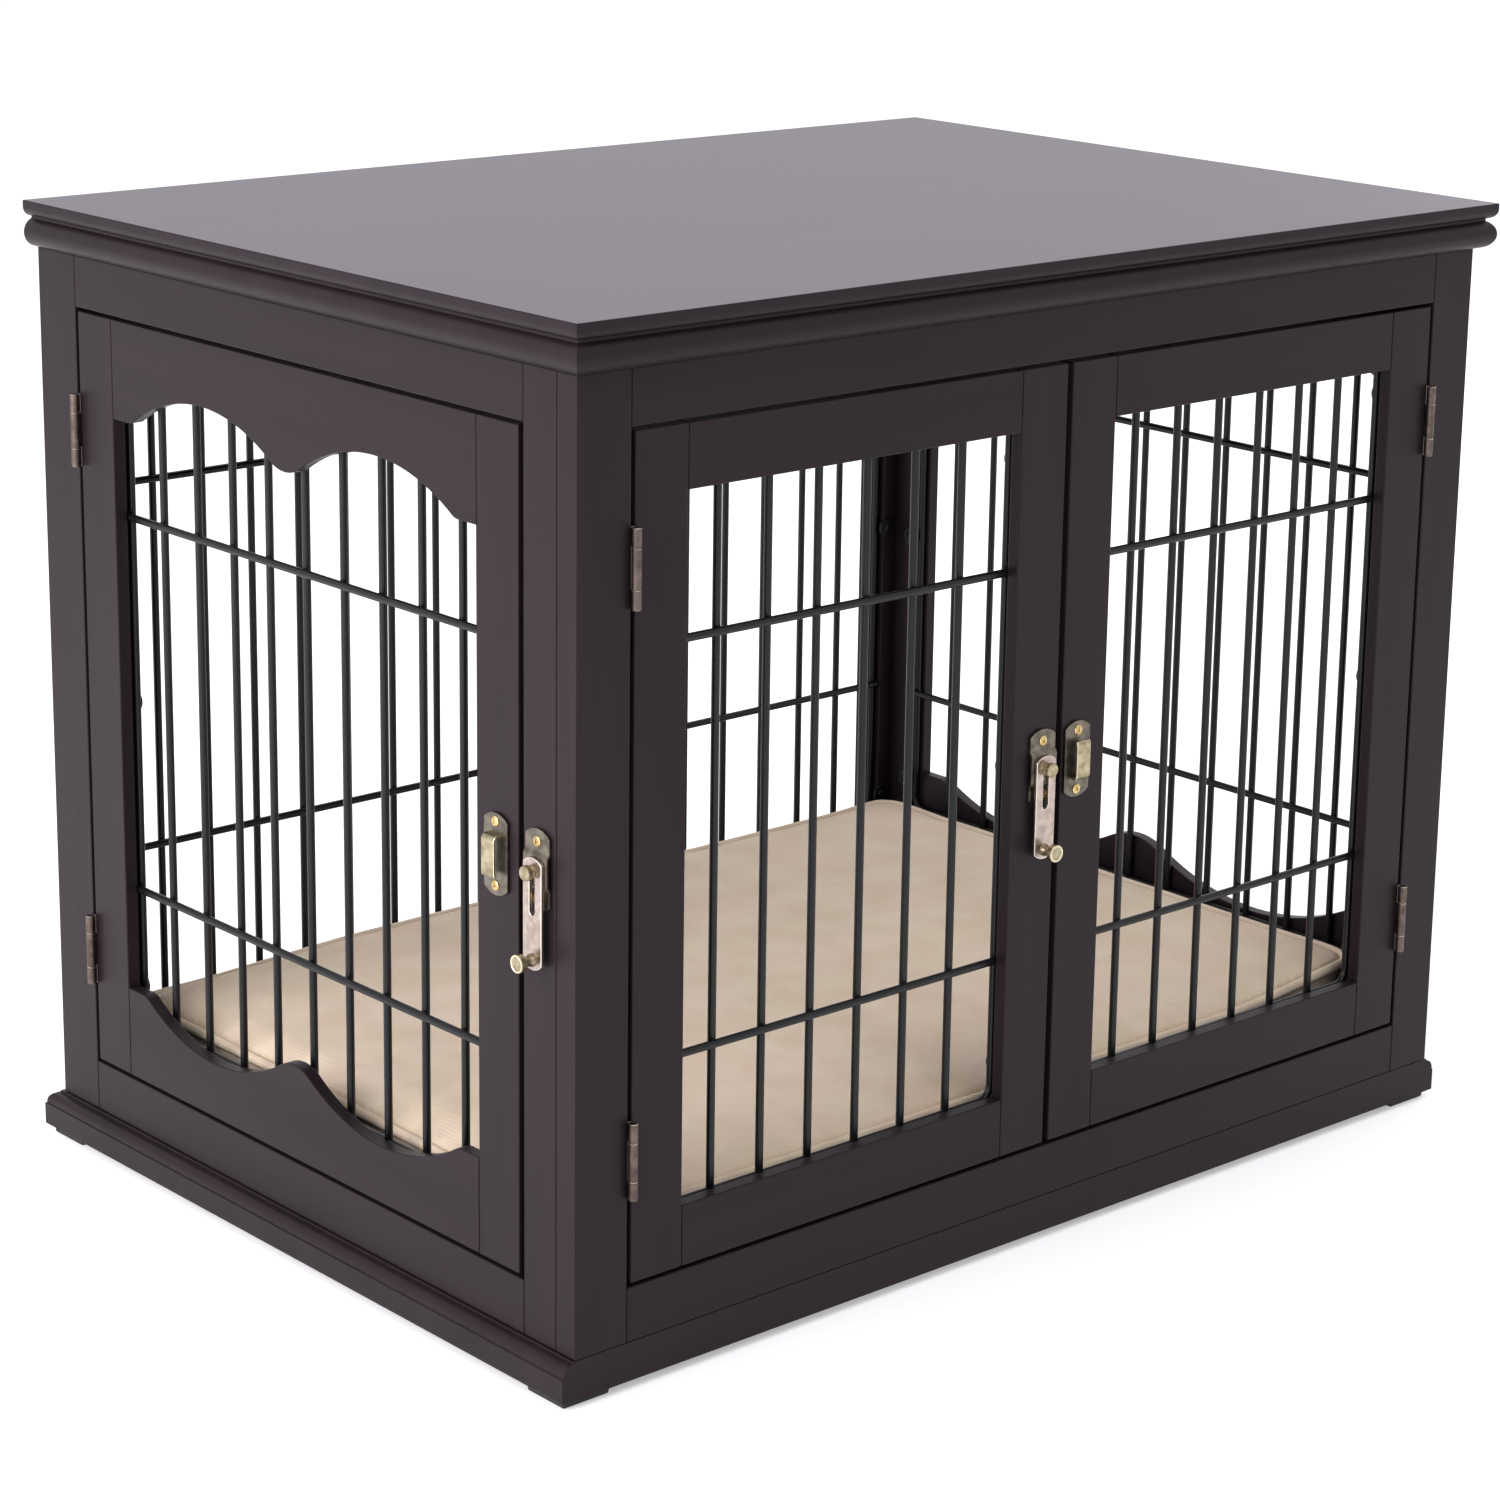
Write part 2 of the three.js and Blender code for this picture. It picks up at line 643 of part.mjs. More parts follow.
// Box cushion: piped upper and lower edges, sides drawn in between them and a crowned top.
function cushion() {
  const perCorner = 6;
  const halfWidth = INNER_X - CUSHION_MARGIN;
  const halfDepth = (INNER_BACK - INNER_FRONT) / 2 - CUSHION_MARGIN;
  const levels = [
    [9, 0],
    [1.5, 3],
    [0, 8],
    [CUSHION_WAIST, 20],
    [CUSHION_WAIST + 1, CUSHION_EDGE / 2],
    [CUSHION_WAIST, CUSHION_EDGE - 18],
    [0, CUSHION_EDGE - 5],
    [1.5, CUSHION_EDGE - 1],
    [8, CUSHION_EDGE],
    [30, CUSHION_EDGE + 2],
    [80, CUSHION_EDGE + 4.5],
    [150, CUSHION_CROWN],
  ];
  const positions = levels.flatMap(([inset, z]) => {
    const hx = halfWidth - inset;
    const hy = halfDepth - inset;
    const corner = Math.max(CUSHION_CORNER - inset * 0.2, 8);
    return [0, 1, 2, 3].flatMap((quarter) => {
      const sx = quarter === 0 || quarter === 3 ? 1 : -1;
      const sy = quarter < 2 ? 1 : -1;
      const start = (quarter * Math.PI) / 2;
      const end = start + Math.PI / 2;
      const spots = arc(sx * (hx - corner), sy * (hy - corner), corner, start, end, perCorner);
      return spots.flatMap(([x, y]) => [x, y, z]);
    });
  });
  return skin(positions, levels.length, 4 * (perCorner + 1));
}

// Boards across the whole table
place(table, "top_board", topBoard(), paintTop);
place(table, "base_board", baseBoard(), paint);
const footReach = FOOT_SIZE / 2 + FOOT_INSET;
const footX = BASE_WIDTH / 2 - footReach;
const footBack = BACK_Y + BASE_BACK_OVERHANG - footReach;
for (const [end, y] of [["front", FRONT_Y + footReach], ["back", footBack]]) {
  place(table, "foot_" + end + "_left", foot(), rubber).position.set(-footX, y, 0);
  place(table, "foot_" + end + "_right", foot(), rubber).position.set(footX, y, 0);
}
const cushionY = (INNER_FRONT + INNER_BACK) / 2;
place(table, "cushion", cushion(), fabric).position.set(0, cushionY, FRAME_Z0);

// The four walls. In each wall's own frame X runs to the right as seen from outside,
// Y runs inwards from the outer face and Z up.
function wall(x, y, turn) {
  const group = new THREE.Group();
  group.position.set(x, y, 0);
  group.rotation.z = turn;
  table.add(group);
  return group;
}

function plainFrame(parent, name, x0, x1, left, right) {
  const low = BASE_Z + FRAME_BOTTOM_RAIL;
  const high = HEIGHT - TOP_THICK - FRAME_TOP_RAIL;
  const inner0 = x0 + left;
  const inner1 = x1 - right;
  const boards = [
    ["_left_stile", x0, inner0, FRAME_Z0, FRAME_Z1],
    ["_right_stile", inner1, x1, FRAME_Z0, FRAME_Z1],
    ["_top_rail", inner0 + SEAM, inner1 - SEAM, high, FRAME_Z1],
    ["_bottom_rail", inner0 + SEAM, inner1 - SEAM, FRAME_Z0, low],
  ];
  for (const [part, bx0, bx1, bz0, bz1] of boards) {
    place(parent, name + part, block(bx0, bx1, 0, BOARD, bz0, bz1), paint);
  }
}

const scalloped = { middle: ARCH_MIDDLE, span: ARCH_SPAN, cusp: CUSP_BLEND };
const fixedScallop = { middle: FIXED_ARCH_MIDDLE, span: FIXED_ARCH_SPAN, cusp: FIXED_CUSP_BLEND };

// Front: a plain frame with a pair of straight-railed doors
const front = wall(0, FRONT_Y, 0);
plainFrame(front, "front_frame", -BODY_WIDTH / 2, BODY_WIDTH / 2, STILE, STILE);
const hingeLine = BODY_WIDTH / 2 - STILE - HINGE_GAP / 2;
for (const [name, side] of [["front_left_door", -1], ["front_right_door", 1]]) {
  const near = DOOR_GAP;
  const far = BODY_WIDTH / 2 - STILE - HINGE_GAP;
  const outer = {
    x0: side < 0 ? -far : near,
    x1: side < 0 ? -near : far,
    z0: DOOR_Z0,
    z1: DOOR_Z1,
  };
  panel(front, name, outer, {
    left: STILE,
    right: STILE,
    top: DOOR_RAIL,
    bottom: DOOR_RAIL,
    shape: null,
    mesh: { pitch: FRONT_PITCH, cross: CROSS_WIRE_SHARE, turned: false },
    leftName: side < 0 ? "hinge_stile" : "latch_stile",
    rightName: side < 0 ? "latch_stile" : "hinge_stile",
  });
  hinge(front, name + "_upper_hinge", side * hingeLine, HINGE_UPPER_Z, -side);
  hinge(front, name + "_lower_hinge", side * hingeLine, HINGE_LOWER_Z, -side);
}
latch(front, "front_latch", -DOOR_GAP - FRONT_PIN_INSET, DOOR_GAP + FRONT_KEEPER_INSET, 0);

// Left end: a plain frame with one scalloped door, hinged at the back
const leftEnd = wall(-BODY_WIDTH / 2, 0, -Math.PI / 2);
const endX0 = -BACK_Y;
const endX1 = -INNER_FRONT - SEAM;
plainFrame(leftEnd, "left_frame", endX0, endX1, END_BACK_STILE, END_FRONT_STILE - SEAM);
const endDoor = {
  x0: endX0 + END_BACK_STILE + HINGE_GAP,
  x1: endX1 + SEAM - END_FRONT_STILE - END_LATCH_GAP,
  z0: DOOR_Z0,
  z1: DOOR_Z1,
};
panel(leftEnd, "end_door", endDoor, {
  left: STILE,
  right: STILE,
  top: EAR_TOP,
  bottom: EAR_BOTTOM,
  shape: scalloped,
  mesh: { pitch: END_PITCH, cross: CROSS_WIRE_SHARE, turned: false },
  leftName: "hinge_stile",
  rightName: "latch_stile",
});
const endHingeLine = endDoor.x0 - HINGE_GAP / 2;
hinge(leftEnd, "end_door_upper_hinge", endHingeLine, HINGE_UPPER_Z, 1);
hinge(leftEnd, "end_door_lower_hinge", endHingeLine, HINGE_LOWER_Z, 1);
const endPinX = -INNER_FRONT - END_FRONT_STILE / 2;
latch(leftEnd, "end_latch", endPinX, endDoor.x1 - STILE / 2, Math.PI);

// Right end: a fixed scalloped panel
const rightEnd = wall(BODY_WIDTH / 2, 0, Math.PI / 2);
const rightOuter = { x0: INNER_FRONT + SEAM, x1: BACK_Y, z0: FRAME_Z0, z1: FRAME_Z1 };
panel(rightEnd, "right_panel", rightOuter, {
  left: FIXED_FRONT_STILE - SEAM,
  right: FIXED_BACK_STILE,
  top: FIXED_EAR_TOP,
  bottom: FIXED_EAR_BOTTOM,
  shape: fixedScallop,
  mesh: { pitch: END_PITCH, cross: CROSS_WIRE_SHARE, turned: true },
  leftName: "front_stile",
  rightName: "back_stile",
});

// Back: a fixed straight-railed panel between the ends
const back = wall(0, BACK_Y, Math.PI);
const backHalf = INNER_X - SEAM;
panel(back, "back_panel", { x0: -backHalf, x1: backHalf, z0: FRAME_Z0, z1: FRAME_Z1 }, {
  left: BACK_STILE,
  right: BACK_STILE,
  top: BACK_TOP_RAIL,
  bottom: BACK_BOTTOM_RAIL,
  shape: null,
  mesh: { pitch: FRONT_PITCH, cross: BACK_CROSS_WIRE_SHARE, turned: true },
  leftName: "left_stile",
  rightName: "right_stile",
});

export default table;
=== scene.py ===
import json
import math

import bmesh
import bpy
from mathutils import Matrix, Vector, bvhtree, kdtree, noise


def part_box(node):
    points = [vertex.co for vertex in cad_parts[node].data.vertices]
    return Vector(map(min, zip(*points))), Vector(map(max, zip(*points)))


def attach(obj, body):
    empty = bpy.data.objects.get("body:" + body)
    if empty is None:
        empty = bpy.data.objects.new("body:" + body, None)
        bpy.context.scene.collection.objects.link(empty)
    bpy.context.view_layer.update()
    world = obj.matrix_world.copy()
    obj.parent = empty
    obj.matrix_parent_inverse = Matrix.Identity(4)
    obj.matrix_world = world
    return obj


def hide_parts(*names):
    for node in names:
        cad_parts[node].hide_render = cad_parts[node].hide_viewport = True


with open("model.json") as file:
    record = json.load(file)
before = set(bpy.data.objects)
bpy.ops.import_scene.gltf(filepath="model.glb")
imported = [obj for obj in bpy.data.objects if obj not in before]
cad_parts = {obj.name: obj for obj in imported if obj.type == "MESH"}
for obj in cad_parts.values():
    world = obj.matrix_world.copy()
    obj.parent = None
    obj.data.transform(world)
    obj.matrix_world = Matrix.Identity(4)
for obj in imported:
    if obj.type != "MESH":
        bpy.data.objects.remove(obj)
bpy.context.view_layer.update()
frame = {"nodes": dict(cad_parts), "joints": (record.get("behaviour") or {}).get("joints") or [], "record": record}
nodes = frame["nodes"]
scene = bpy.context.scene


# The camera stands to the front left of the table, a little above its top, and looks slightly down.
# Its frame is the photograph's square.
yaw = math.radians(42.55)
pitch = math.radians(14.28)
roll = math.radians(1.10)
forward = Vector((math.sin(yaw) * math.cos(pitch), math.cos(yaw) * math.cos(pitch), -math.sin(pitch)))
level = Vector((math.cos(yaw), -math.sin(yaw), 0))
plumb = forward.cross(level)
right = math.cos(roll) * level - math.sin(roll) * plumb
down = math.sin(roll) * level + math.cos(roll) * plumb
camera = bpy.data.objects.new("camera", bpy.data.cameras.new("camera"))
scene.collection.objects.link(camera)
camera_turn = Matrix((right, -down, -forward)).transposed().to_4x4()
camera.matrix_world = Matrix.Translation((-1.6915, -1.9055, 1.0133)) @ camera_turn
camera.data.lens = 92.42
camera.data.sensor_width = 36
camera.data.shift_x = -0.0555
camera.data.shift_y = -0.0876
scene.camera = camera
scene.view_settings.view_transform = "Standard"


# The studio: a pale floor, soft light from all round, large soft lamps at both ends, and
# weaker ones in front and above. Seen directly, in a gloss or through glass, the surroundings are white.
def wired(tree, kind, **sockets):
    """A shader or geometry node with the named inputs set, or fed by another node's output."""
    made = tree.nodes.new(kind)
    for name, value in sockets.items():
        socket = made.inputs[name.replace("_", " ")]
        if isinstance(value, bpy.types.NodeSocket):
            tree.links.new(value, socket)
        else:
            socket.default_value = value
    return made


def larger(tree, a, b):
    pick = tree.nodes.new("ShaderNodeMath")
    pick.operation = "MAXIMUM"
    tree.links.new(a, pick.inputs[0])
    tree.links.new(b, pick.inputs[1])
    return pick.outputs[0]


def background_rays(tree):
    path = tree.nodes.new("ShaderNodeLightPath")
    direct = larger(tree, path.outputs["Is Camera Ray"], path.outputs["Is Glossy Ray"])
    return larger(tree, direct, path.outputs["Is Transmission Ray"])


def new_material(name):
    material = bpy.data.materials.new(name)
    material.use_nodes = True
    return material, material.node_tree


world = bpy.data.worlds.new("studio_world")
scene.world = world
world.use_nodes = True
sky = world.node_tree
sky.nodes.clear()
soft = wired(sky, "ShaderNodeBackground", Color=(0.97, 0.97, 1.0, 1), Strength=0.88)
white = wired(sky, "ShaderNodeBackground", Color=(1, 1, 1, 1), Strength=1.0)
sky_mix = sky.nodes.new("ShaderNodeMixShader")
sky.links.new(background_rays(sky), sky_mix.inputs[0])
sky.links.new(soft.outputs[0], sky_mix.inputs[1])
sky.links.new(white.outputs[0], sky_mix.inputs[2])
sky.links.new(sky_mix.outputs[0], sky.nodes.new("ShaderNodeOutputWorld").inputs[0])

floor_mesh = bpy.data.meshes.new("studio_floor")
floor_mesh.from_pydata([(-9, -9, 0), (9, -9, 0), (9, 9, 0), (-9, 9, 0)], [], [(0, 1, 2, 3)])
studio_floor = bpy.data.objects.new("studio_floor", floor_mesh)
scene.collection.objects.link(studio_floor)
floor_white, tree = new_material("studio_floor_white")
tree.nodes.clear()
matt = wired(tree, "ShaderNodeBsdfDiffuse", Color=(0.88, 0.88, 0.88, 1))
glow = wired(tree, "ShaderNodeEmission", Strength=0.34)
lit = tree.nodes.new("ShaderNodeAddShader")
tree.links.new(matt.outputs[0], lit.inputs[0])
tree.links.new(glow.outputs[0], lit.inputs[1])
floor_mix = tree.nodes.new("ShaderNodeMixShader")
tree.links.new(background_rays(tree), floor_mix.inputs[0])
tree.links.new(matt.outputs[0], floor_mix.inputs[1])
tree.links.new(lit.outputs[0], floor_mix.inputs[2])
tree.links.new(floor_mix.outputs[0], tree.nodes.new("ShaderNodeOutputMaterial").inputs[0])
floor_mesh.materials.append(floor_white)

for name, place, target, size, power in (
    ("lamp_left", (-3.4, 0.2, 1.5), (-0.3, 0, 0.3), 2.4, 130),
    ("lamp_front", (0.0, -2.4, 3.4), (0, 0, 0.2), 2.0, 22),
    ("lamp_above", (0.2, 0.8, 3.4), (0, 0, 0.3), 2.6, 10),
    ("lamp_right", (3.5, 0.5, 1.3), (0.2, 0, 0.1), 2.4, 32),
):
    lamp = bpy.data.objects.new(name, bpy.data.lights.new(name, "AREA"))
    lamp.data.shape = "SQUARE"
    lamp.data.size = size
    lamp.data.energy = power
    lamp.data.color = (0.98, 0.95, 1.0)
    lamp.location = place
    lamp.rotation_euler = (Vector(target) - Vector(place)).to_track_quat("-Z", "Y").to_euler()
    scene.collection.objects.link(lamp)


# Top board: a moulded board with a nose rounded underneath, a narrow quirk and a half-round bead
# below it on the front and both ends, cut plain at the back. Sprayed dark grey-brown satin paint
# over fine straight grain, the arrises broken by hand.
def finish_sockets(tree, outputs):
    """Sockets of a shader node group: a vector to work on, then the named numbers it puts out."""
    tree.interface.new_socket("Vector", in_out="INPUT", socket_type="NodeSocketVector")
    for name in outputs:
        tree.interface.new_socket(name, in_out="OUTPUT", socket_type="NodeSocketFloat")


def stretched(tree, source, scales):
    """The vector with each axis scaled by its own number."""
    scaled = wired(tree, "ShaderNodeVectorMath")
    scaled.operation = "MULTIPLY"
    tree.links.new(source, scaled.inputs[0])
    scaled.inputs[1].default_value = scales
    return scaled.outputs[0]


def ranged(tree, source, low, high):
    """The part of a noise between low and high, drawn out to 0 to 1."""
    span = wired(tree, "ShaderNodeMapRange", Value=source.outputs["Fac"])
    span.inputs["From Min"].default_value = low
    span.inputs["From Max"].default_value = high
    return span.outputs[0]


def grain_under_paint():
    """Fine grain stretched along the board, brush-wide shade changes and specks of dust nibs."""
    group = bpy.data.node_groups.new("grain_under_paint", "ShaderNodeTree")
    finish_sockets(group, ("Shade", "Gloss", "Relief"))
    start = group.nodes.new("NodeGroupInput").outputs["Vector"]
    pores = stretched(group, start, (14, 620, 620))
    fine = wired(group, "ShaderNodeTexNoise", Vector=pores, Scale=1.0, Detail=4.0)
    bands = stretched(group, start, (3, 38, 38))
    wide = wired(group, "ShaderNodeTexNoise", Vector=bands, Scale=1.0, Detail=2.0)
    mist = wired(group, "ShaderNodeTexNoise", Vector=start, Scale=900.0, Detail=2.0)
    end = group.nodes.new("NodeGroupOutput")
    group.links.new(ranged(group, wide, 0.3, 0.7), end.inputs["Shade"])
    group.links.new(ranged(group, mist, 0.3, 0.7), end.inputs["Gloss"])
    both = group.nodes.new("ShaderNodeMath")
    both.operation = "MULTIPLY_ADD"
    group.links.new(mist.outputs["Fac"], both.inputs[0])
    both.inputs[1].default_value = 0.35
    group.links.new(fine.outputs["Fac"], both.inputs[2])
    group.links.new(both.outputs[0], end.inputs["Relief"])
    return group


def principled(material, **constants):
    shader = material.node_tree.nodes["Principled BSDF"]
    for name, value in constants.items():
        shader.inputs[name.replace("_", " ")].default_value = value
    return shader


def two_tones(tree, mask, dark, light):
    """Mixes two colours, each one given or made by another node."""
    mix = tree.nodes.new("ShaderNodeMix")
    mix.data_type = "RGBA"
    tree.links.new(mask, mix.inputs["Factor"])
    for name, colour in (("A", dark), ("B", light)):
        if isinstance(colour, bpy.types.NodeSocket):
            tree.links.new(colour, mix.inputs[name])
        else:
            mix.inputs[name].default_value = (*colour, 1)
    return mix.outputs["Result"]


def spread(tree, mask, low, high):
    span = wired(tree, "ShaderNodeMapRange", Value=mask)
    span.inputs["To Min"].default_value = low
    span.inputs["To Max"].default_value = high
    return span.outputs[0]


def relief(tree, height, depth, strength):
    bump = wired(tree, "ShaderNodeBump", Height=height, Strength=strength, Distance=depth)
    return bump.outputs["Normal"]


def surface_note(tree, name):
    note = tree.nodes.new("ShaderNodeAttribute")
    note.attribute_name = name
    return note.outputs


def node_group(tree, group, vector):
    holder = tree.nodes.new("ShaderNodeGroup")
    holder.node_tree = group
    tree.links.new(vector, holder.inputs["Vector"])
    return holder.outputs


def object_spot(tree):
    return tree.nodes.new("ShaderNodeTexCoord").outputs["Object"]


def dress(tree, shader, colour, roughness, normal):
    for name, source in (("Base Color", colour), ("Roughness", roughness), ("Normal", normal)):
        tree.links.new(source, shader.inputs[name])


def board_paint(name, dark, light, gloss, **finish):
    """Satin paint sprayed over closed grain: two near shades, uneven gloss and faint relief."""
    material, tree = new_material(name)
    under = node_group(tree, grain, surface_note(tree, "along_board")["Vector"])
    dress(
        tree, principled(material, **finish), two_tones(tree, under["Shade"], dark, light),
        spread(tree, under["Gloss"], *gloss), relief(tree, under["Relief"], 0.00010, 0.6),
    )
    return material


grain = grain_under_paint()
satin_paint = board_paint(
    "satin_grey_brown_paint", (0.0122, 0.0079, 0.0088), (0.0162, 0.0106, 0.0119), (0.34, 0.44),
    IOR=1.25, Specular_Tint=(0.94, 0.82, 0.98, 1),
)
# Paint for the top face only: lighter and more lilac than the sides, a painted sheen standing in for the light the
# top reflects, under a real clear coat.
top_sheen_paint = board_paint(
    "rubbed_top_paint", (0.030, 0.020, 0.034), (0.036, 0.025, 0.041), (0.36, 0.44),
    IOR=1.42, Specular_Tint=(0.93, 0.84, 1.0, 1), Coat_Weight=0.40, Coat_Roughness=0.35,
    Coat_Tint=(0.96, 0.90, 1.0, 1),
)

SMOOTH_BELOW = math.radians(32)
NEARLY_FLAT = math.radians(1.5)
MUCH_LARGER = 6


def note_grain(mesh, length_axis, offset):
    """Stores each point as (along, across, through) the board, with the board's own offset."""
    order = [length_axis] + [axis for axis in range(3) if axis != length_axis]
    spots = mesh.attributes.new("along_board", "FLOAT_VECTOR", "POINT")
    for point, spot in zip(mesh.vertices, spots.data):
        spot.vector = [point.co[axis] + offset for axis in order]


def shade_soft(mesh):
    """Smooth shading along curves, with broad flat faces kept flat up to their arrises."""
    shape = bmesh.new()
    shape.from_mesh(mesh)
    for face in shape.faces:
        face.smooth = True
    for edge in shape.edges:
        if len(edge.link_faces) != 2:
            continue
        turn = edge.calc_face_angle()
        small, large = sorted(face.calc_area() for face in edge.link_faces)
        beside_flat = turn > NEARLY_FLAT and large > small * MUCH_LARGER
        edge.smooth = turn < SMOOTH_BELOW and not beside_flat
    shape.to_mesh(mesh)
    shape.free()


def put(name, mesh, body, material, slot, *cad_nodes):
    """A finished piece: its material, the body it rides on and the CAD nodes it stands for."""
    mesh.materials.clear()
    mesh.materials.append(material)
    piece = bpy.data.objects.new(name, mesh)
    scene.collection.objects.link(piece)
    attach(piece, body)
    if cad_nodes:
        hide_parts(*cad_nodes)
    return piece


def arc(cx, cz, radius, start, end, steps):
    """Points round a centre, from one angle in radians to another."""
    turns = [start + (end - start) * step / steps for step in range(steps + 1)]
    return [(cx + radius * math.cos(turn), cz + radius * math.sin(turn)) for turn in turns]


def quarter(cx, cz, radius, start, end, steps):
    return arc(cx, cz, radius, math.radians(start), math.radians(end), steps)


def as_mesh(name, shape):
    """The finished bmesh as a mesh of that name."""
    mesh = bpy.data.meshes.new(name)
    shape.to_mesh(mesh)
    shape.free()
    return mesh


def skin(shape, rings):
    """Faces between neighbouring rings of four corners, and one over each open end."""
    for low, high in zip(rings, rings[1:]):
        for side in range(4):
            after = (side + 1) % 4
            shape.faces.new((low[side], low[after], high[after], high[side]))
    shape.faces.new(reversed(rings[0]))
    shape.faces.new(rings[-1])


def moulded_board(name, profile, half, front, back, front_runs, back_runs):
    """Board whose edge profile, (inset, z) from the bottom up, runs round its ends and, where
    asked, along its front and back with mitred corners."""
    shape = bmesh.new()
    rings = []
    for inset, z in profile:
        y0 = front + inset * front_runs
        y1 = back - inset * back_runs
        x = half - inset
        corners = ((-x, y0, z), (x, y0, z), (x, y1, z), (-x, y1, z))
        rings.append([shape.verts.new(corner) for corner in corners])
    skin(shape, rings)
    mesh = as_mesh(name, shape)
    shade_soft(mesh)
    return mesh


top_low, top_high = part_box("top_board")
BEAD = 0.0098
BEAD_INSET = 0.010
NOSE = 0.006
NOSE_DROP = 0.0045
QUIRK_DROP = 0.0114
ARRIS = 0.0008
bead_z = top_low.z + BEAD
top_profile = quarter(BEAD_INSET, bead_z, BEAD, -90, -246, 22)
top_profile.append((NOSE + 0.0002, top_high.z - QUIRK_DROP))
top_profile += quarter(NOSE, top_high.z - NOSE_DROP, NOSE, 270, 180, 12)
top_profile += quarter(ARRIS, top_high.z - ARRIS, ARRIS, 180, 90, 4)
top_mesh = moulded_board("top_board_painted", top_profile, top_high.x, top_low.y, top_high.y, 1, 0)
note_grain(top_mesh, 0, 0.0)
put("top_board_painted", top_mesh, "cabinet", satin_paint, "painted_wood", "top_board")
# Only the upward top face takes the lighter paint: painted sheen on the face that catches the light.
top_mesh.materials.append(top_sheen_paint)
for face in top_mesh.polygons:
    face.material_index = int(face.normal.z > 0.99 and face.center.z > top_high.z - 0.0001)


# Base board: carries the frames and the cushion. A step and an ovolo run round both ends and
# the back, and the front is flush with the front frame. Same paint.
base_low, base_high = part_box("base_board")
OVOLO = 0.007
OVOLO_STEP = 0.001
spring = base_high.z - OVOLO - 0.0015
base_profile = [(0.0006, base_low.z), (0, base_low.z + 0.0006), (0, spring - 0.0013)]
base_profile += quarter(0.0003, spring - 0.0013, 0.0003, 180, 90, 2)
base_profile.append((OVOLO_STEP, spring - 0.0005))
base_profile += quarter(OVOLO_STEP + OVOLO, spring, OVOLO, 180, 90, 14)
base_profile.append((OVOLO_STEP + OVOLO, base_high.z - 0.0003))
base_profile.append((OVOLO_STEP + OVOLO + 0.0003, base_high.z))
base_mesh = moulded_board("base_board_painted", base_profile, base_high.x, base_low.y, base_high.y, 0, 1)
note_grain(base_mesh, 0, 0.31)
put("base_board_painted", base_mesh, "cabinet", satin_paint, "painted_wood", "base_board")


# Frame and door boards: planed stock, rabbeted behind the lip where a grid sits, butted with
# fine seams, the arrises eased by sanding before the paint, so each edge catches a thin light.
ARRIS_BOARD = 0.0007


def eased(mesh, width, steps):
    """Rounds every sharp edge of a mesh to the given width."""
    shape = bmesh.new()
    shape.from_mesh(mesh)
    bmesh.ops.remove_doubles(shape, verts=shape.verts, dist=0.00001)
    bmesh.ops.dissolve_limit(
        shape, angle_limit=math.radians(1), verts=shape.verts, edges=shape.edges
    )
    sharp = [
        edge
        for edge in shape.edges
        if len(edge.link_faces) == 2 and edge.calc_face_angle() > SMOOTH_BELOW
    ]
    bmesh.ops.bevel(
        shape, geom=sharp, offset=width, segments=steps, profile=0.5, affect="EDGES", clamp_overlap=True
    )
    shape.to_mesh(mesh)
    shape.free()


def merged_copy(node, name):
    mesh = nodes[node].data.copy()
    mesh.name = name
    for attribute in [a.name for a in mesh.color_attributes]:
        mesh.color_attributes.remove(mesh.color_attributes[attribute])
    return mesh


def longest_axis(node):
    low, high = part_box(node)
    size = high - low
    return max(range(3), key=lambda axis: size[axis])


bodies = frame["record"]["behaviour"]["bodies"]
body_of = {node: body for body, members in bodies.items() for node in members}
board_ends = ("_stile", "_rail")
boards = [node for node in nodes if node.endswith(board_ends)]
SCALLOPED = tuple(
    panel + rail for panel in ("end_door", "right_panel") for rail in ("_top_rail", "_bottom_rail")
)
for count, node in enumerate(sorted(boards)):
    if node in SCALLOPED:
        continue
    mesh = merged_copy(node, node + "_painted")
    eased(mesh, ARRIS_BOARD, 2)
    shade_soft(mesh)
    note_grain(mesh, longest_axis(node), 0.173 * (count + 1))
    put(node + "_painted", mesh, body_of[node], satin_paint, "painted_wood", node)


# Scalloped rails: the boards above and below the end door's opening and the right end's. Sawn to
# two shallow arches that meet in a rounded point, then routed and rabbeted like the straight ones.
BOARD = 0.018
LIP = 0.009
RABBET = 0.009
ARCH_RISE = 0.024
EAR_BLEND = 0.012


def scallop(half, middle, span, cusp):
    """Free edge from end to end as (along, height above the ears)."""
    centre = half * middle
    radius = ((half * span) ** 2 + ARCH_RISE ** 2) / (2 * ARCH_RISE)
    arch = ARCH_RISE - radius
    ear_x = centre + math.sqrt((radius + EAR_BLEND) ** 2 - (EAR_BLEND - arch) ** 2)
    cusp_z = arch + math.sqrt((radius + cusp) ** 2 - centre ** 2)
    ear_turn = math.atan2(EAR_BLEND - arch, centre - ear_x)
    cusp_turn = math.atan2(cusp_z - arch, centre)
    points = [(-half, 0)]
    points += arc(-ear_x, EAR_BLEND, EAR_BLEND, -math.pi / 2, ear_turn - math.pi, 6)
    points += arc(-centre, arch, radius, ear_turn, cusp_turn, 30)[1:]
    points += arc(0, cusp_z, cusp, cusp_turn - math.pi, -math.pi / 2, 6)[1:]
    return points + [(-x, z) for x, z in reversed(points[:-1])]


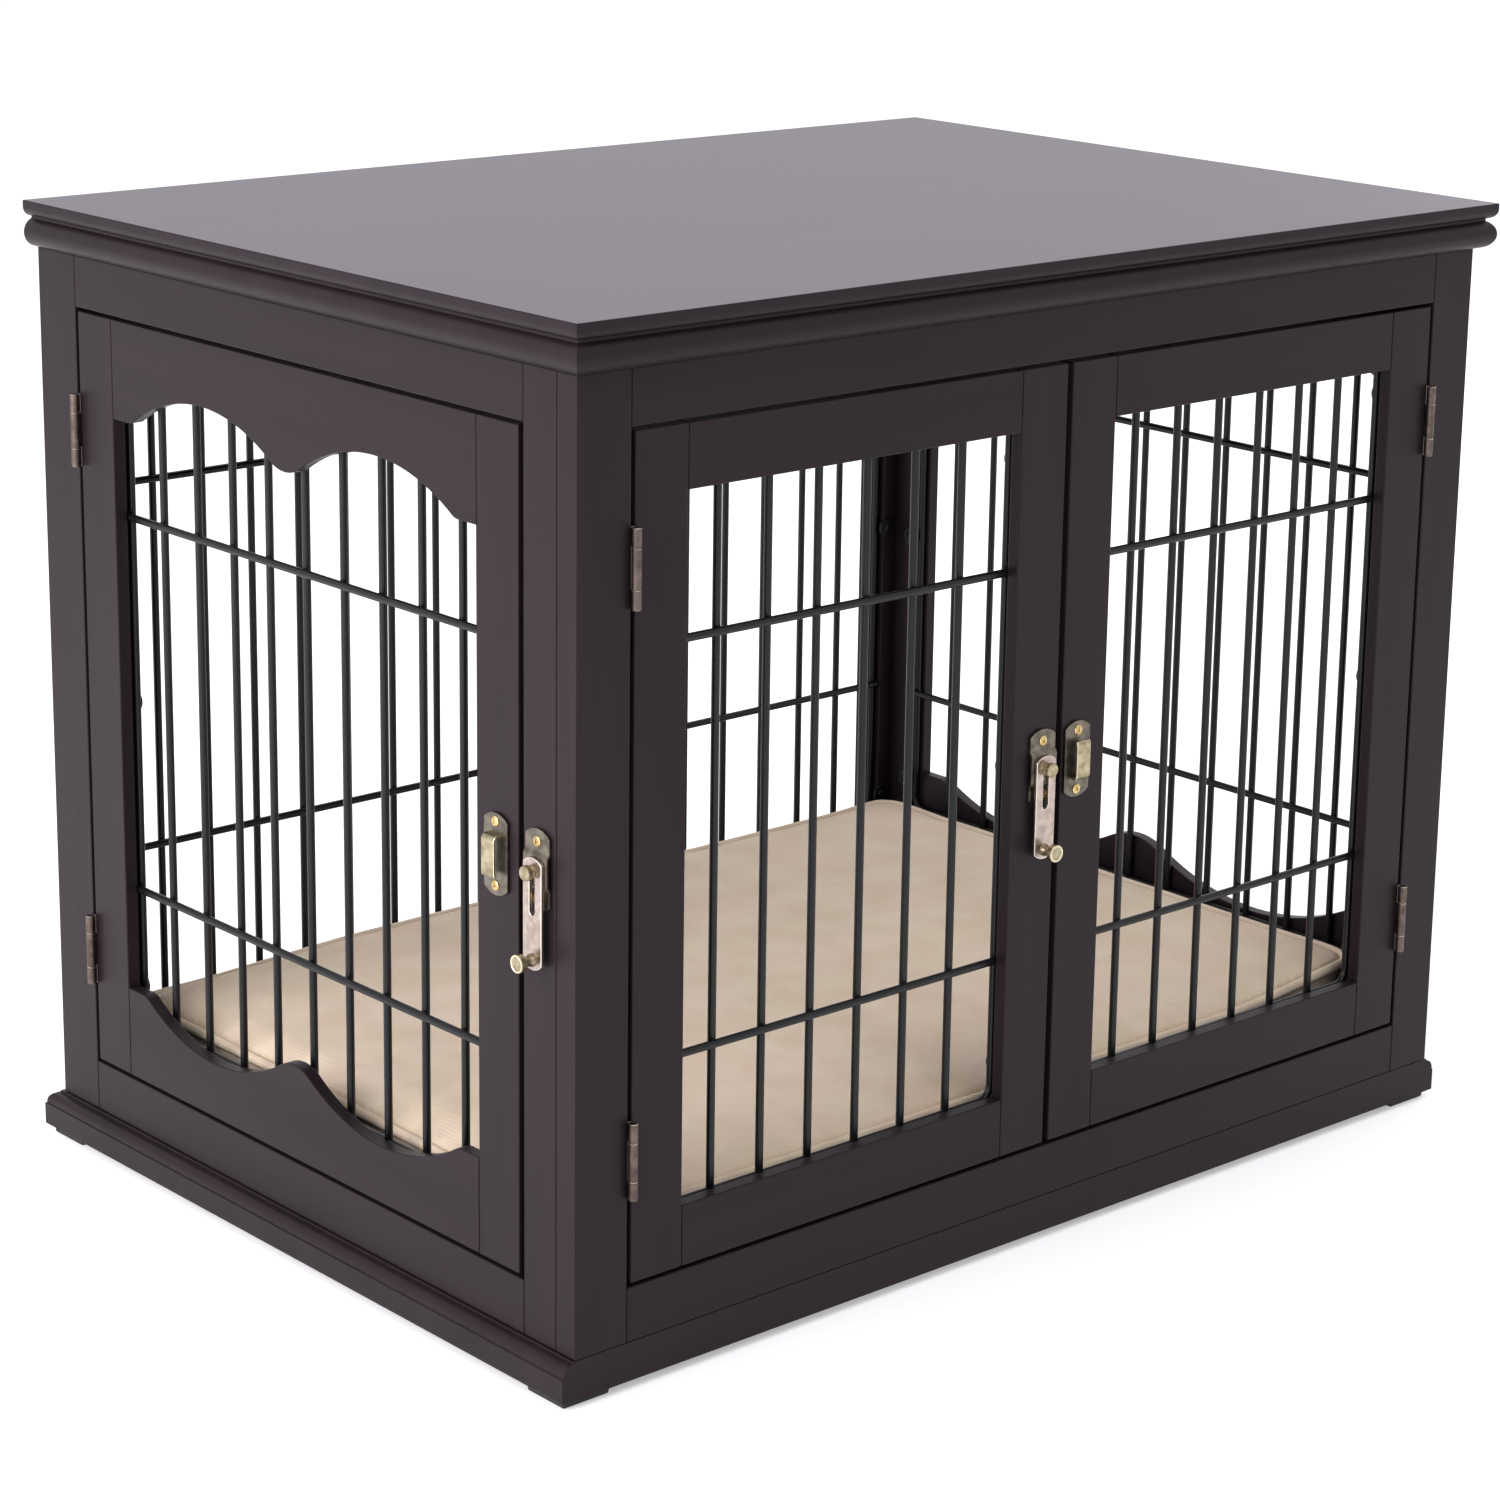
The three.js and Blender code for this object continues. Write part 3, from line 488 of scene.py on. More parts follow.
def scalloped_rail(node, ear, middle, span, cusp):
    low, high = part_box(node)
    top_rail = node.endswith("_top_rail")
    half = (high.y - low.y) / 2
    centre = (high.y + low.y) / 2
    outer = low.x if low.x < 0 else high.x
    inward = 1 if low.x < 0 else -1
    far = high.z if top_rail else low.z
    rise = 1 if top_rail else -1
    ear_z = far - rise * ear
    deep = ear_z + rise * (ARCH_RISE + RABBET)
    shape = bmesh.new()

    def spot(along, z, depth):
        return shape.verts.new((outer + inward * depth, centre + along, z))

    edge = [(x, ear_z + rise * z) for x, z in scallop(half, middle, span, cusp)]
    face_line = [spot(x, z, 0) for x, z in edge]
    lip_line = [spot(x, z, LIP) for x, z in edge]
    step_lip = [spot(x, deep, LIP) for x in (-half, half)]
    step_back = [spot(x, deep, BOARD) for x in (-half, half)]
    far_face = [spot(x, far, 0) for x in (-half, half)]
    far_back = [spot(x, far, BOARD) for x in (-half, half)]
    shape.faces.new(face_line + [far_face[1], far_face[0]])
    for here in range(len(edge) - 1):
        shape.faces.new((face_line[here], face_line[here + 1], lip_line[here + 1], lip_line[here]))
    shape.faces.new(lip_line + [step_lip[1], step_lip[0]])
    shape.faces.new((step_lip[0], step_lip[1], step_back[1], step_back[0]))
    shape.faces.new((step_back[0], step_back[1], far_back[1], far_back[0]))
    shape.faces.new((far_face[0], far_face[1], far_back[1], far_back[0]))
    for end, at in ((0, 0), (1, -1)):
        ring = (face_line[at], lip_line[at], step_lip[end], step_back[end], far_back[end], far_face[end])
        shape.faces.new(ring)
    bmesh.ops.recalc_face_normals(shape, faces=shape.faces)
    return as_mesh(node + "_painted", shape)


for count, (node, ear, middle, span, cusp) in enumerate((
    ("end_door_top_rail", 0.065, 0.477, 0.4145, 0.030),
    ("end_door_bottom_rail", 0.0615, 0.477, 0.4145, 0.030),
    ("right_panel_top_rail", 0.099, 0.503, 0.405, 0.050),
    ("right_panel_bottom_rail", 0.095, 0.503, 0.405, 0.050),
)):
    mesh = scalloped_rail(node, ear, middle, span, cusp)
    eased(mesh, ARRIS_BOARD, 2)
    shade_soft(mesh)
    note_grain(mesh, 1, 0.271 * (count + 1))
    put(node + "_painted", mesh, body_of[node], satin_paint, "painted_wood", node)


# Feet: four thin moulded pads nailed under the base's corners, matt black.
foot_black, tree = new_material("foot_matt_black")
scuff = wired(tree, "ShaderNodeTexNoise", Vector=object_spot(tree), Scale=260.0, Detail=4.0)
dusty = two_tones(tree, scuff.outputs["Fac"], (0.010, 0.010, 0.011), (0.026, 0.025, 0.025))
dress(
    tree, principled(foot_black, IOR=1.45), dusty,
    spread(tree, scuff.outputs["Fac"], 0.6, 0.85), relief(tree, scuff.outputs["Fac"], 0.0002, 0.5),
)
for node in ("foot_front_left", "foot_front_right", "foot_back_left", "foot_back_right"):
    mesh = merged_copy(node, node + "_pad")
    eased(mesh, 0.0012, 3)
    shade_soft(mesh)
    put(node + "_pad", mesh, "cabinet", foot_black, "foot_plastic", node)


# Wire grids: round steel wire, a closed outer wire and uprights on one plane and two cross wires
# on the other, welded where they meet and powder-coated black. The fixed ones are turned round.
WIRE = 0.0052
WIRE_LAP = 0.005
WIRE_CORNER = 0.010
OUTER_WIRE_DEPTH = 0.0119
INNER_WIRE_DEPTH = 0.0157
WASHER = 0.0135
WASHER_INSET = 0.011
FASTENER_REACH = WASHER_INSET + WASHER / 2
black_coat, tree = new_material("black_powder_coat")
peel = wired(tree, "ShaderNodeTexNoise", Vector=object_spot(tree), Scale=1100.0, Detail=2.0)
patch = wired(tree, "ShaderNodeTexNoise", Vector=object_spot(tree), Scale=35.0, Detail=2.0)
tones = two_tones(tree, patch.outputs["Fac"], (0.0034, 0.0036, 0.0042), (0.0064, 0.0067, 0.0078))
dress(
    tree, principled(black_coat, IOR=1.36), tones,
    spread(tree, patch.outputs["Fac"], 0.26, 0.40), relief(tree, peel.outputs["Fac"], 0.00008, 0.5),
)


def evaluated(piece):
    """What an object's modifiers make of it, as a mesh of its own."""
    ready = bpy.context.evaluated_depsgraph_get()
    return bpy.data.meshes.new_from_object(piece.evaluated_get(ready))


def made_by(tree, name, values, base=None):
    """Plain mesh that a Geometry Nodes tree makes from named values, and from a base mesh."""
    carrier = bpy.data.objects.new(name, base or bpy.data.meshes.new(name))
    scene.collection.objects.link(carrier)
    modifier = carrier.modifiers.new("making", "NODES")
    modifier.node_group = tree
    for socket in tree.interface.items_tree:
        if socket.item_type == "SOCKET" and socket.name in values:
            modifier[socket.identifier] = values[socket.name]
    mesh = evaluated(carrier)
    mesh.name = name
    bpy.data.objects.remove(carrier)
    return mesh


def geometry_tree(name, **inputs):
    tree = bpy.data.node_groups.new(name, "GeometryNodeTree")
    tree.interface.new_socket("Geometry", in_out="INPUT", socket_type="NodeSocketGeometry")
    for label, kind in inputs.items():
        label = label.replace("_", " ")
        tree.interface.new_socket(label, in_out="INPUT", socket_type="NodeSocket" + kind)
    tree.interface.new_socket("Geometry", in_out="OUTPUT", socket_type="NodeSocketGeometry")
    return tree, tree.nodes.new("NodeGroupInput").outputs


def closed_off(tree, parts, material):
    """Joins the parts, turns instances into real faces and gives them their material."""
    joined = tree.nodes.new("GeometryNodeJoinGeometry")
    for part in parts:
        tree.links.new(part, joined.inputs[0])
    real = wired(tree, "GeometryNodeRealizeInstances", Geometry=joined.outputs[0])
    soft = wired(tree, "GeometryNodeSetShadeSmooth", Geometry=real.outputs[0])
    dressed = wired(tree, "GeometryNodeSetMaterial", Geometry=soft.outputs[0], Material=material)
    tree.links.new(dressed.outputs[0], tree.nodes.new("NodeGroupOutput").inputs[0])


def times(tree, value, factor):
    product = tree.nodes.new("ShaderNodeMath")
    product.operation = "MULTIPLY"
    tree.links.new(value, product.inputs[0])
    if isinstance(factor, bpy.types.NodeSocket):
        tree.links.new(factor, product.inputs[1])
    else:
        product.inputs[1].default_value = factor
    return product.outputs[0]


def plus(tree, a, b):
    total = tree.nodes.new("ShaderNodeMath")
    tree.links.new(a, total.inputs[0])
    tree.links.new(b, total.inputs[1])
    return total.outputs[0]


def xyz(tree, x=0.0, y=0.0, z=0.0):
    return wired(tree, "ShaderNodeCombineXYZ", X=x, Y=y, Z=z).outputs[0]


def wire_along(tree, line, section, **caps):
    rod = wired(tree, "GeometryNodeCurveToMesh", Curve=line, Profile_Curve=section, **caps)
    return rod.outputs[0]


def set_on(tree, points, shape, **size):
    made = wired(tree, "GeometryNodeInstanceOnPoints", Points=points, Instance=shape, **size)
    return made.outputs[0]


def row_of(tree, count, start, step):
    line = wired(tree, "GeometryNodeMeshLine", Count=count, Start_Location=start, Offset=step)
    return line.outputs[0]


def straight(tree, start, end):
    line = wired(tree, "GeometryNodeCurvePrimitiveLine", Start=start, End=end)
    return line.outputs[0]


def welded_grid():
    """In its own frame the grid is centred on X and Z, and Y runs inwards from the board's face."""
    tree, given = geometry_tree(
        "welded_grid", Width="Float", Height="Float", Wire="Float", Corner="Float", Uprights="Int",
        Pitch="Float", Upright_Depth="Float", Cross_Depth="Float", Cross_Spread="Float",
    )
    count, pitch, depth = given["Uprights"], given["Pitch"], given["Upright Depth"]
    section = wired(tree, "GeometryNodeCurvePrimitiveCircle", Resolution=14)
    tree.links.new(times(tree, given["Wire"], 0.5), section.inputs["Radius"])
    section = section.outputs[0]
    frame_wire = wired(
        tree, "GeometryNodeCurvePrimitiveQuadrilateral", Width=given["Width"], Height=given["Height"]
    )
    corner = tree.nodes.new("GeometryNodeFilletCurve")
    corner.mode = "POLY"
    corner.inputs["Count"].default_value = 8
    tree.links.new(frame_wire.outputs[0], corner.inputs["Curve"])
    tree.links.new(given["Corner"], corner.inputs["Radius"])
    stood = wired(
        tree, "GeometryNodeTransform", Geometry=corner.outputs[0], Translation=xyz(tree, y=depth),
        Rotation=(math.pi / 2, 0, 0),
    )
    outer = wire_along(tree, stood.outputs[0], section)

    reach = times(tree, given["Height"], 0.5)
    rod_line = straight(tree, xyz(tree, z=times(tree, reach, -1.0)), xyz(tree, z=reach))
    gaps = tree.nodes.new("ShaderNodeMath")
    gaps.operation = "SUBTRACT"
    tree.links.new(count, gaps.inputs[0])
    gaps.inputs[1].default_value = 1.0
    first = times(tree, times(tree, gaps.outputs[0], pitch), -0.5)
    row = row_of(tree, count, xyz(tree, x=first, y=depth), xyz(tree, x=pitch))
    uprights = set_on(tree, row, wire_along(tree, rod_line, section, Fill_Caps=True))

    past = plus(tree, times(tree, given["Width"], 0.5), times(tree, given["Wire"], 0.4))
    cross_line = straight(tree, xyz(tree, x=times(tree, past, -1.0)), xyz(tree, x=past))
    low = times(tree, given["Cross Spread"], -0.5)
    pair = row_of(
        tree, 2, xyz(tree, y=given["Cross Depth"], z=low), xyz(tree, z=given["Cross Spread"])
    )
    crossed = set_on(tree, pair, wire_along(tree, cross_line, section, Fill_Caps=True))

    meeting = times(tree, plus(tree, given["Cross Depth"], depth), 0.5)
    weld_row = row_of(tree, count, xyz(tree, x=first, y=meeting, z=low), xyz(tree, x=pitch))
    upper_row = wired(
        tree, "GeometryNodeTransform", Geometry=weld_row,
        Translation=xyz(tree, z=given["Cross Spread"]),
    )
    bead = wired(tree, "GeometryNodeMeshIcoSphere", Subdivisions=3)
    tree.links.new(times(tree, given["Wire"], 0.52), bead.inputs["Radius"])
    welds = [
        set_on(tree, points, bead.outputs[0], Scale=(1.05, 0.95, 1.05))
        for points in (weld_row, upper_row.outputs[0])
    ]
    closed_off(tree, [outer, uprights, crossed, *welds], black_coat)
    return tree


front_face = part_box("front_frame_left_stile")[0].y
left_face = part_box("left_frame_left_stile")[0].x
right_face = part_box("right_panel_back_stile")[1].x
back_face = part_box("back_panel_left_stile")[1].y
WALLS = {
    "front": Matrix.Translation((0, front_face, 0)),
    "left": Matrix.Translation((left_face, 0, 0)) @ Matrix.Rotation(-math.pi / 2, 4, "Z"),
    "right": Matrix.Translation((right_face, 0, 0)) @ Matrix.Rotation(math.pi / 2, 4, "Z"),
    "back": Matrix.Translation((0, back_face, 0)) @ Matrix.Rotation(math.pi, 4, "Z"),
}
PANELS = (
    ("front_left_door", "front", 0.03935, 0.208, False),
    ("front_right_door", "front", 0.03935, 0.208, False),
    ("end_door", "left", 0.03985, 0.208, False),
    ("right_panel", "right", 0.03985, 0.208, True),
    ("back_panel", "back", 0.03935, 0.235, True),
)


def in_wall(wall, low, high):
    """A box in a wall's own frame: X to the right from outside, Y inwards from its face."""
    back = WALLS[wall].inverted()
    a = back @ low
    b = back @ high
    return Vector(map(min, a, b)), Vector(map(max, a, b))


grid_tree = welded_grid()
openings = {}
for panel, wall, pitch, share, turned_round in PANELS:
    low, high = in_wall(wall, *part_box(panel + "_grid"))
    z0 = low.z + FASTENER_REACH
    z1 = high.z - WIRE_LAP - WIRE / 2
    x0 = low.x + FASTENER_REACH
    x1 = high.x - FASTENER_REACH
    openings[panel] = (x0, x1, z0, z1)
    mesh = made_by(grid_tree, panel + "_wires", {
        "Width": x1 - x0 + 2 * WIRE_LAP,
        "Height": z1 - z0 + 2 * WIRE_LAP,
        "Wire": WIRE,
        "Corner": WIRE_CORNER,
        "Uprights": math.floor((x1 - x0) / pitch),
        "Pitch": pitch,
        "Upright Depth": OUTER_WIRE_DEPTH if turned_round else INNER_WIRE_DEPTH,
        "Cross Depth": INNER_WIRE_DEPTH if turned_round else OUTER_WIRE_DEPTH,
        "Cross Spread": (z1 - z0) * (1 - 2 * share),
    })
    mesh.transform(WALLS[wall] @ Matrix.Translation(((x0 + x1) / 2, 0, (z0 + z1) / 2)))
    body = body_of[panel + "_grid"]
    put(panel + "_wires", mesh, body, black_coat, "black_wire", panel + "_grid")


# Grid fasteners: black washers with pan-head cross screws, three up each side and one below,
# driven into the back of the boards so that the washers clamp the outer wire.
WASHER_SHARE = 0.455
WASHER_THICK = 0.0015
WASHER_BACK = BOARD + 0.0003


def spun(name, profile, sides):
    """Mesh turned about Y from (radius, distance out of the face), outwards being -Y."""
    shape = bmesh.new()
    rings = []
    for radius, out in profile:
        if radius == 0:
            rings.append([shape.verts.new((0, -out, 0))])
            continue
        rings.append([
            shape.verts.new((radius * math.cos(turn), -out, radius * math.sin(turn)))
            for turn in (2 * math.pi * side / sides for side in range(sides))
        ])
    for low, high in zip(rings, rings[1:]):
        for side in range(sides):
            after = (side + 1) % sides
            corners = [low[side % len(low)], low[after % len(low)]]
            corners += [high[after % len(high)], high[side % len(high)]]
            shape.faces.new(list(dict.fromkeys(corners)))
    bmesh.ops.recalc_face_normals(shape, faces=shape.faces)
    return as_mesh(name, shape)


def shown(name, mesh):
    made = bpy.data.objects.new(name, mesh)
    scene.collection.objects.link(made)
    return made


def cross_screw(name, radius, height, foot):
    """Domed head from foot upwards with a tapered cross recess."""
    under = foot - 0.0004
    profile = [(0, under), (radius, under)]
    for turn in map(math.radians, range(0, 90, 10)):
        profile.append((radius * math.cos(turn), foot + height * (0.35 + 0.65 * math.sin(turn))))
    head = shown(name, spun(name, profile + [(0, foot + height)], 32))
    cutter = bmesh.new()
    for length, width in ((radius * 1.25, radius * 0.26), (radius * 0.26, radius * 1.25)):
        box = bmesh.ops.create_cube(cutter, size=1.0)["verts"]
        for point in box:
            taper = 0.45 if point.co.y > 0 else 1.0
            point.co = (
                point.co.x * length * taper,
                -(foot + height) + point.co.y * height * 1.5,
                point.co.z * width * taper,
            )
    recess = shown(name + "_recess", as_mesh(name + "_recess", cutter))
    carve = head.modifiers.new("recess", "BOOLEAN")
    carve.operation = "DIFFERENCE"
    carve.solver = "EXACT"
    carve.use_self = True
    carve.object = recess
    mesh = evaluated(head)
    mesh.name = name
    bpy.data.objects.remove(head)
    bpy.data.objects.remove(recess)
    shade_soft(mesh)
    return mesh


def joined_mesh(name, *meshes):
    shape = bmesh.new()
    for mesh in meshes:
        shape.from_mesh(mesh)
    return as_mesh(name, shape)


def fastener_row():
    tree, given = geometry_tree("fastener_row", Fastener="Object")
    shape = wired(tree, "GeometryNodeObjectInfo", Object=given["Fastener"])
    rows = set_on(tree, given["Geometry"], shape.outputs["Geometry"])
    real = wired(tree, "GeometryNodeRealizeInstances", Geometry=rows)
    dressed = wired(tree, "GeometryNodeSetMaterial", Geometry=real.outputs[0], Material=black_coat)
    tree.links.new(dressed.outputs[0], tree.nodes.new("NodeGroupOutput").inputs[0])
    return tree


washer_profile = (
    (0, 0), (WASHER / 2 - 0.0004, 0), (WASHER / 2, 0.0004), (WASHER / 2, WASHER_THICK - 0.0005),
    (WASHER / 2 - 0.0005, WASHER_THICK), (0, WASHER_THICK),
)
washer_disc = spun("washer_disc", washer_profile, 28)
shade_soft(washer_disc)
pan_head = cross_screw("pan_head", 0.0034, 0.0016, WASHER_THICK)
fastener_mesh = joined_mesh("washer_and_screw", washer_disc, pan_head)
fastener_mesh.transform(Matrix.Rotation(math.pi, 4, "Z"))
fastener = shown("washer_and_screw", fastener_mesh)
fastener_tree = fastener_row()
for panel, wall, pitch, share, turned_round in PANELS:
    x0, x1, z0, z1 = openings[panel]
    middle = (z0 + z1) / 2
    spots = [
        (x, WASHER_BACK, middle + step * WASHER_SHARE * (z1 - z0))
        for x in (x0 - WASHER_INSET, x1 + WASHER_INSET)
        for step in (-1, 0, 1)
    ]
    spots.append(((x0 + x1) / 2, WASHER_BACK, z0 - WASHER_INSET))
    points = bpy.data.meshes.new(panel + "_fastener_spots")
    points.from_pydata(spots, [], [])
    mesh = made_by(fastener_tree, panel + "_fasteners", {"Fastener": fastener}, points)
    mesh.transform(WALLS[wall])
    put(panel + "_fasteners", mesh, body_of[panel + "_grid"], black_coat, "black_wire")
bpy.data.objects.remove(fastener)


# Butt hinges: small brass-plated steel hinges, two to each door, let into the gap beside it with
# their barrels proud of the face. The frame leaf has the pin and the outer knuckles.
BARREL = 0.003
KNUCKLE = 0.024
HINGE_LENGTH = 0.048
LEAF_WIDTH = 0.014
LEAF_THICK = 0.001
KNUCKLE_GAP = 0.0003
KNUCKLE_PLAY = 0.00015
BARREL_EASE = 0.00035
NARROW = 0.0004


def aged_metal():
    """Tarnish that gathers in soft patches, fine brushing and tiny pits."""
    group = bpy.data.node_groups.new("aged_metal", "ShaderNodeTree")
    finish_sockets(group, ("Tarnish", "Brushing", "Pits"))
    start = group.nodes.new("NodeGroupInput").outputs["Vector"]
    end = group.nodes.new("NodeGroupOutput")
    cloud = wired(group, "ShaderNodeTexNoise", Vector=start, Scale=150.0, Detail=5.0, Roughness=0.6)
    group.links.new(ranged(group, cloud, 0.38, 0.62), end.inputs["Tarnish"])
    drawn = stretched(group, start, (2600, 2600, 160))
    strokes = wired(group, "ShaderNodeTexNoise", Vector=drawn, Scale=1.0, Detail=3.0)
    group.links.new(strokes.outputs["Fac"], end.inputs["Brushing"])
    pits = wired(group, "ShaderNodeTexNoise", Vector=start, Scale=1900.0, Detail=1.0)
    group.links.new(pits.outputs["Fac"], end.inputs["Pits"])
    return group


def note_edge_highlight(mesh):
    """Marks the narrow faces along rounded edges, which the metals colour lighter as a painted highlight."""
    shape = bmesh.new()
    shape.from_mesh(mesh)
    worn = shape.faces.layers.float.new("worn")
    for face in shape.faces:
        sharp = sum(
            edge.calc_length() for edge in face.edges
            if len(edge.link_faces) == 2 and edge.calc_face_angle() > math.radians(12)
        )
        around = face.calc_perimeter()
        face[worn] = float(sharp > 0.55 * around and face.calc_area() < around / 2 * NARROW)
    shape.to_mesh(mesh)
    shape.free()


def metal(name, dark, light, bright, gloss):
    material, tree = new_material(name)
    age = node_group(tree, ageing, object_spot(tree))
    aged = two_tones(tree, age["Tarnish"], dark, light)
    # The narrow faces along rounded edges take the light third colour: a painted highlight where the edges would
    # catch the light.
    dress(
        tree, principled(material, Metallic=1.0),
        two_tones(tree, surface_note(tree, "worn")["Fac"], aged, bright),
        spread(tree, age["Brushing"], *gloss), relief(tree, age["Pits"], 0.00004, 0.4),
    )
    return material


ageing = aged_metal()
# Each metal's third colour is the painted highlight on its rounded edges.
hinge_brass = metal(
    "dark_aged_brass", (0.085, 0.064, 0.056), (0.150, 0.115, 0.098), (0.44, 0.39, 0.33), (0.34, 0.50)
)
swings = {joint["name"]: joint["pos_m"] for joint in frame["joints"] if joint["type"] == "hinge"}


def tube(x, y, z0, z1, radius, ease):
    """Upright rod with eased ends, on a wall's own axes."""
    inner = radius - ease
    profile = ((0, z0), (inner, z0), (radius, z0 + ease), (radius, z1 - ease), (inner, z1), (0, z1))
    mesh = spun("tube", profile, 28)
    mesh.transform(Matrix.Translation((x, y, 0)) @ Matrix.Rotation(-math.pi / 2, 4, "X"))
    return mesh


def plate_block(x0, x1, y0, y1, z0, z1):
    shape = bmesh.new()
    for point in bmesh.ops.create_cube(shape, size=1.0)["verts"]:
        point.co = (
            x0 if point.co.x < 0 else x1,
            y0 if point.co.y < 0 else y1,
            z0 if point.co.z < 0 else z1,
        )
    mesh = as_mesh("plate_block", shape)
    eased(mesh, 0.0002, 2)
    return mesh


def hinge_leaf(hinge, wall, axis_x, axis_y, side, door_side):
    """side is +1 where the door lies on the hinge's +X side."""
    low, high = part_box(hinge + "_frame_leaf")
    z = (low.z + high.z) / 2
    half = HINGE_LENGTH / 2
    knuckle = KNUCKLE / 2
    reach = (0.0002 * side, (0.0002 + LEAF_THICK) * side)
    x0, x1 = sorted(axis_x + (offset if door_side else -offset) for offset in reach)
    leaf_y = axis_y + BARREL + KNUCKLE_GAP
    leaf = plate_block(x0, x1, leaf_y, leaf_y + LEAF_WIDTH, z - half, z + half)
    if door_side:
        parts = [
            leaf,
            plate_block(x0, x1, axis_y, leaf_y + 0.001, z - knuckle + 0.0005, z + knuckle - 0.0005),
            tube(
                axis_x, axis_y, z - knuckle + KNUCKLE_PLAY, z + knuckle - KNUCKLE_PLAY, BARREL,
                BARREL_EASE,
            ),
        ]
    else:
        parts = [leaf, tube(axis_x, axis_y, z - half + 0.0002, z + half - 0.0002, 0.0013, 0.0003)]
        lower = (z - half, z - knuckle - KNUCKLE_PLAY)
        upper = (z + knuckle + KNUCKLE_PLAY, z + half)
        for low_z, high_z in (lower, upper):
            parts.append(tube(axis_x, axis_y, low_z, high_z, BARREL, BARREL_EASE))
            parts.append(plate_block(x0, x1, axis_y, leaf_y + 0.001, low_z + 0.0003, high_z - 0.0003))
    node = hinge + ("_door_leaf" if door_side else "_frame_leaf")
    mesh = joined_mesh(node + "_brass", *parts)
    mesh.transform(WALLS[wall])
    shade_soft(mesh)
    note_edge_highlight(mesh)
    put(node + "_brass", mesh, body_of[node], hinge_brass, "antique_brass", node)


for door, wall, side in (
    ("front_left_door", "front", 1),
    ("front_right_door", "front", -1),
    ("end_door", "left", 1),
):
    axis = WALLS[wall].inverted() @ Vector(swings[door + "_swing"])
    for level in ("_upper_hinge", "_lower_hinge"):
        hinge_leaf(door + level, wall, axis.x, axis.y, side, True)
        hinge_leaf(door + level, wall, axis.x, axis.y, side, False)


# Slide latches: stamped and bent antique-brass plates with yellow brass screws. A slotted bar
# turns and slides on a headed rivet in the raised back plate and drops into the keeper's hook.
PLATE_WIDTH = 0.022
PLATE_HALF = 0.025
PLATE_THICK = 0.0015
PLATE_ARCH = 0.0044
PLATE_SEAT = 0.0003
PLATFORM = 0.0035
PLATFORM_HALF = 0.009
PLATE_FACE = PLATE_SEAT + PLATE_THICK
SCREW_HEAD = 0.0033
PLATE_SCREWS = (0.0175, -0.0175)
KEEPER_SCREWS = (0.019, -0.020)
BAR_BACK = 0.0038
BAR_FRONT = 0.0058
BAR_WIDTH = 0.017
BAR_LENGTH = 0.068
BAR_ARCH = 0.0036
PIN_MARGIN = 0.0085
SLOT_WIDTH = 0.005
SLOT_TRAVEL = 0.024
KNOB_REACH = 0.0535
STRAP_WIDTH = 0.012
STRAP_MIDDLE = 0.00715
STRAP_BEND = 0.0028
# Each metal's third colour is the painted highlight on its rounded edges.
plate_brass = metal(
    "smoked_plate_brass", (0.095, 0.082, 0.066), (0.185, 0.163, 0.130), (0.66, 0.60, 0.48), (0.28, 0.42)
)
bar_brass = metal(
    "pale_bar_brass", (0.330, 0.268, 0.232), (0.470, 0.392, 0.340), (0.80, 0.74, 0.66), (0.22, 0.36)
)
strap_brass = metal(
    "brushed_hook_brass", (0.250, 0.212, 0.130), (0.440, 0.385, 0.255), (0.78, 0.70, 0.50), (0.24, 0.38)
)
screw_brass = metal(
    "yellow_screw_brass", (0.42, 0.29, 0.10), (0.66, 0.49, 0.22), (0.85, 0.70, 0.40), (0.18, 0.30)
)


def half_width(z, half_height, arch):
    """Half of a latch plate's width at height z: straight sides under a round-arched end."""
    half = PLATE_WIDTH / 2
    radius = (half ** 2 + arch ** 2) / (2 * arch)
    above = abs(z) - (half_height - arch)
    if above <= 0:
        return half
    fall = radius - arch + above
    return max(math.sqrt(max(radius ** 2 - fall ** 2, 0)), 0.0009)


def bent_plate(name, face_at, back_at):
    """Strip with arched ends whose face and back stand off the board as the two functions say."""
    arch_turns = map(math.radians, range(0, 91, 6))
    arch_steps = [PLATE_HALF - PLATE_ARCH * (1 - math.sin(turn)) for turn in arch_turns]
    step = 0.0005
    straight = [step * count for count in range(int((PLATE_HALF - PLATE_ARCH) / step) + 1)]
    upper = sorted(set(straight + arch_steps))
    levels = [-z for z in reversed(upper) if z > 0] + upper
    shape = bmesh.new()
    rings = []
    for z in levels:
        half = half_width(z, PLATE_HALF, PLATE_ARCH)
        front, back = -face_at(abs(z)), -back_at(abs(z))
        corners = ((-half, front), (half, front), (half, back), (-half, back))
        rings.append([shape.verts.new((x, y, z)) for x, y in corners])
    skin(shape, rings)
    bmesh.ops.recalc_face_normals(shape, faces=shape.faces)
    mesh = as_mesh(name, shape)
    eased(mesh, 0.00035, 2)
    return mesh


def held(value, low, high):
    return min(max(value, low), high)


def ramp(z, low_value, high_value, low_z, high_z):
    share = held((z - low_z) / (high_z - low_z), 0, 1)
    share = share * share * (3 - 2 * share)
    return low_value + (high_value - low_value) * share


def back_plate():
    """Raised in the middle, where the rivet turns, with a sloping step to each screw end."""
    half = PLATFORM_HALF

    def face(z):
        return ramp(z, PLATFORM, PLATE_FACE, half - 0.0005, half + 0.0028)

    def back(z):
        return ramp(z, PLATFORM - PLATE_THICK, PLATE_SEAT, half - 0.0015, half + 0.0020)

    return bent_plate("back_plate", face, back)


def keeper_plate():
    return bent_plate("keeper_plate", lambda z: PLATE_FACE, lambda z: PLATE_SEAT)


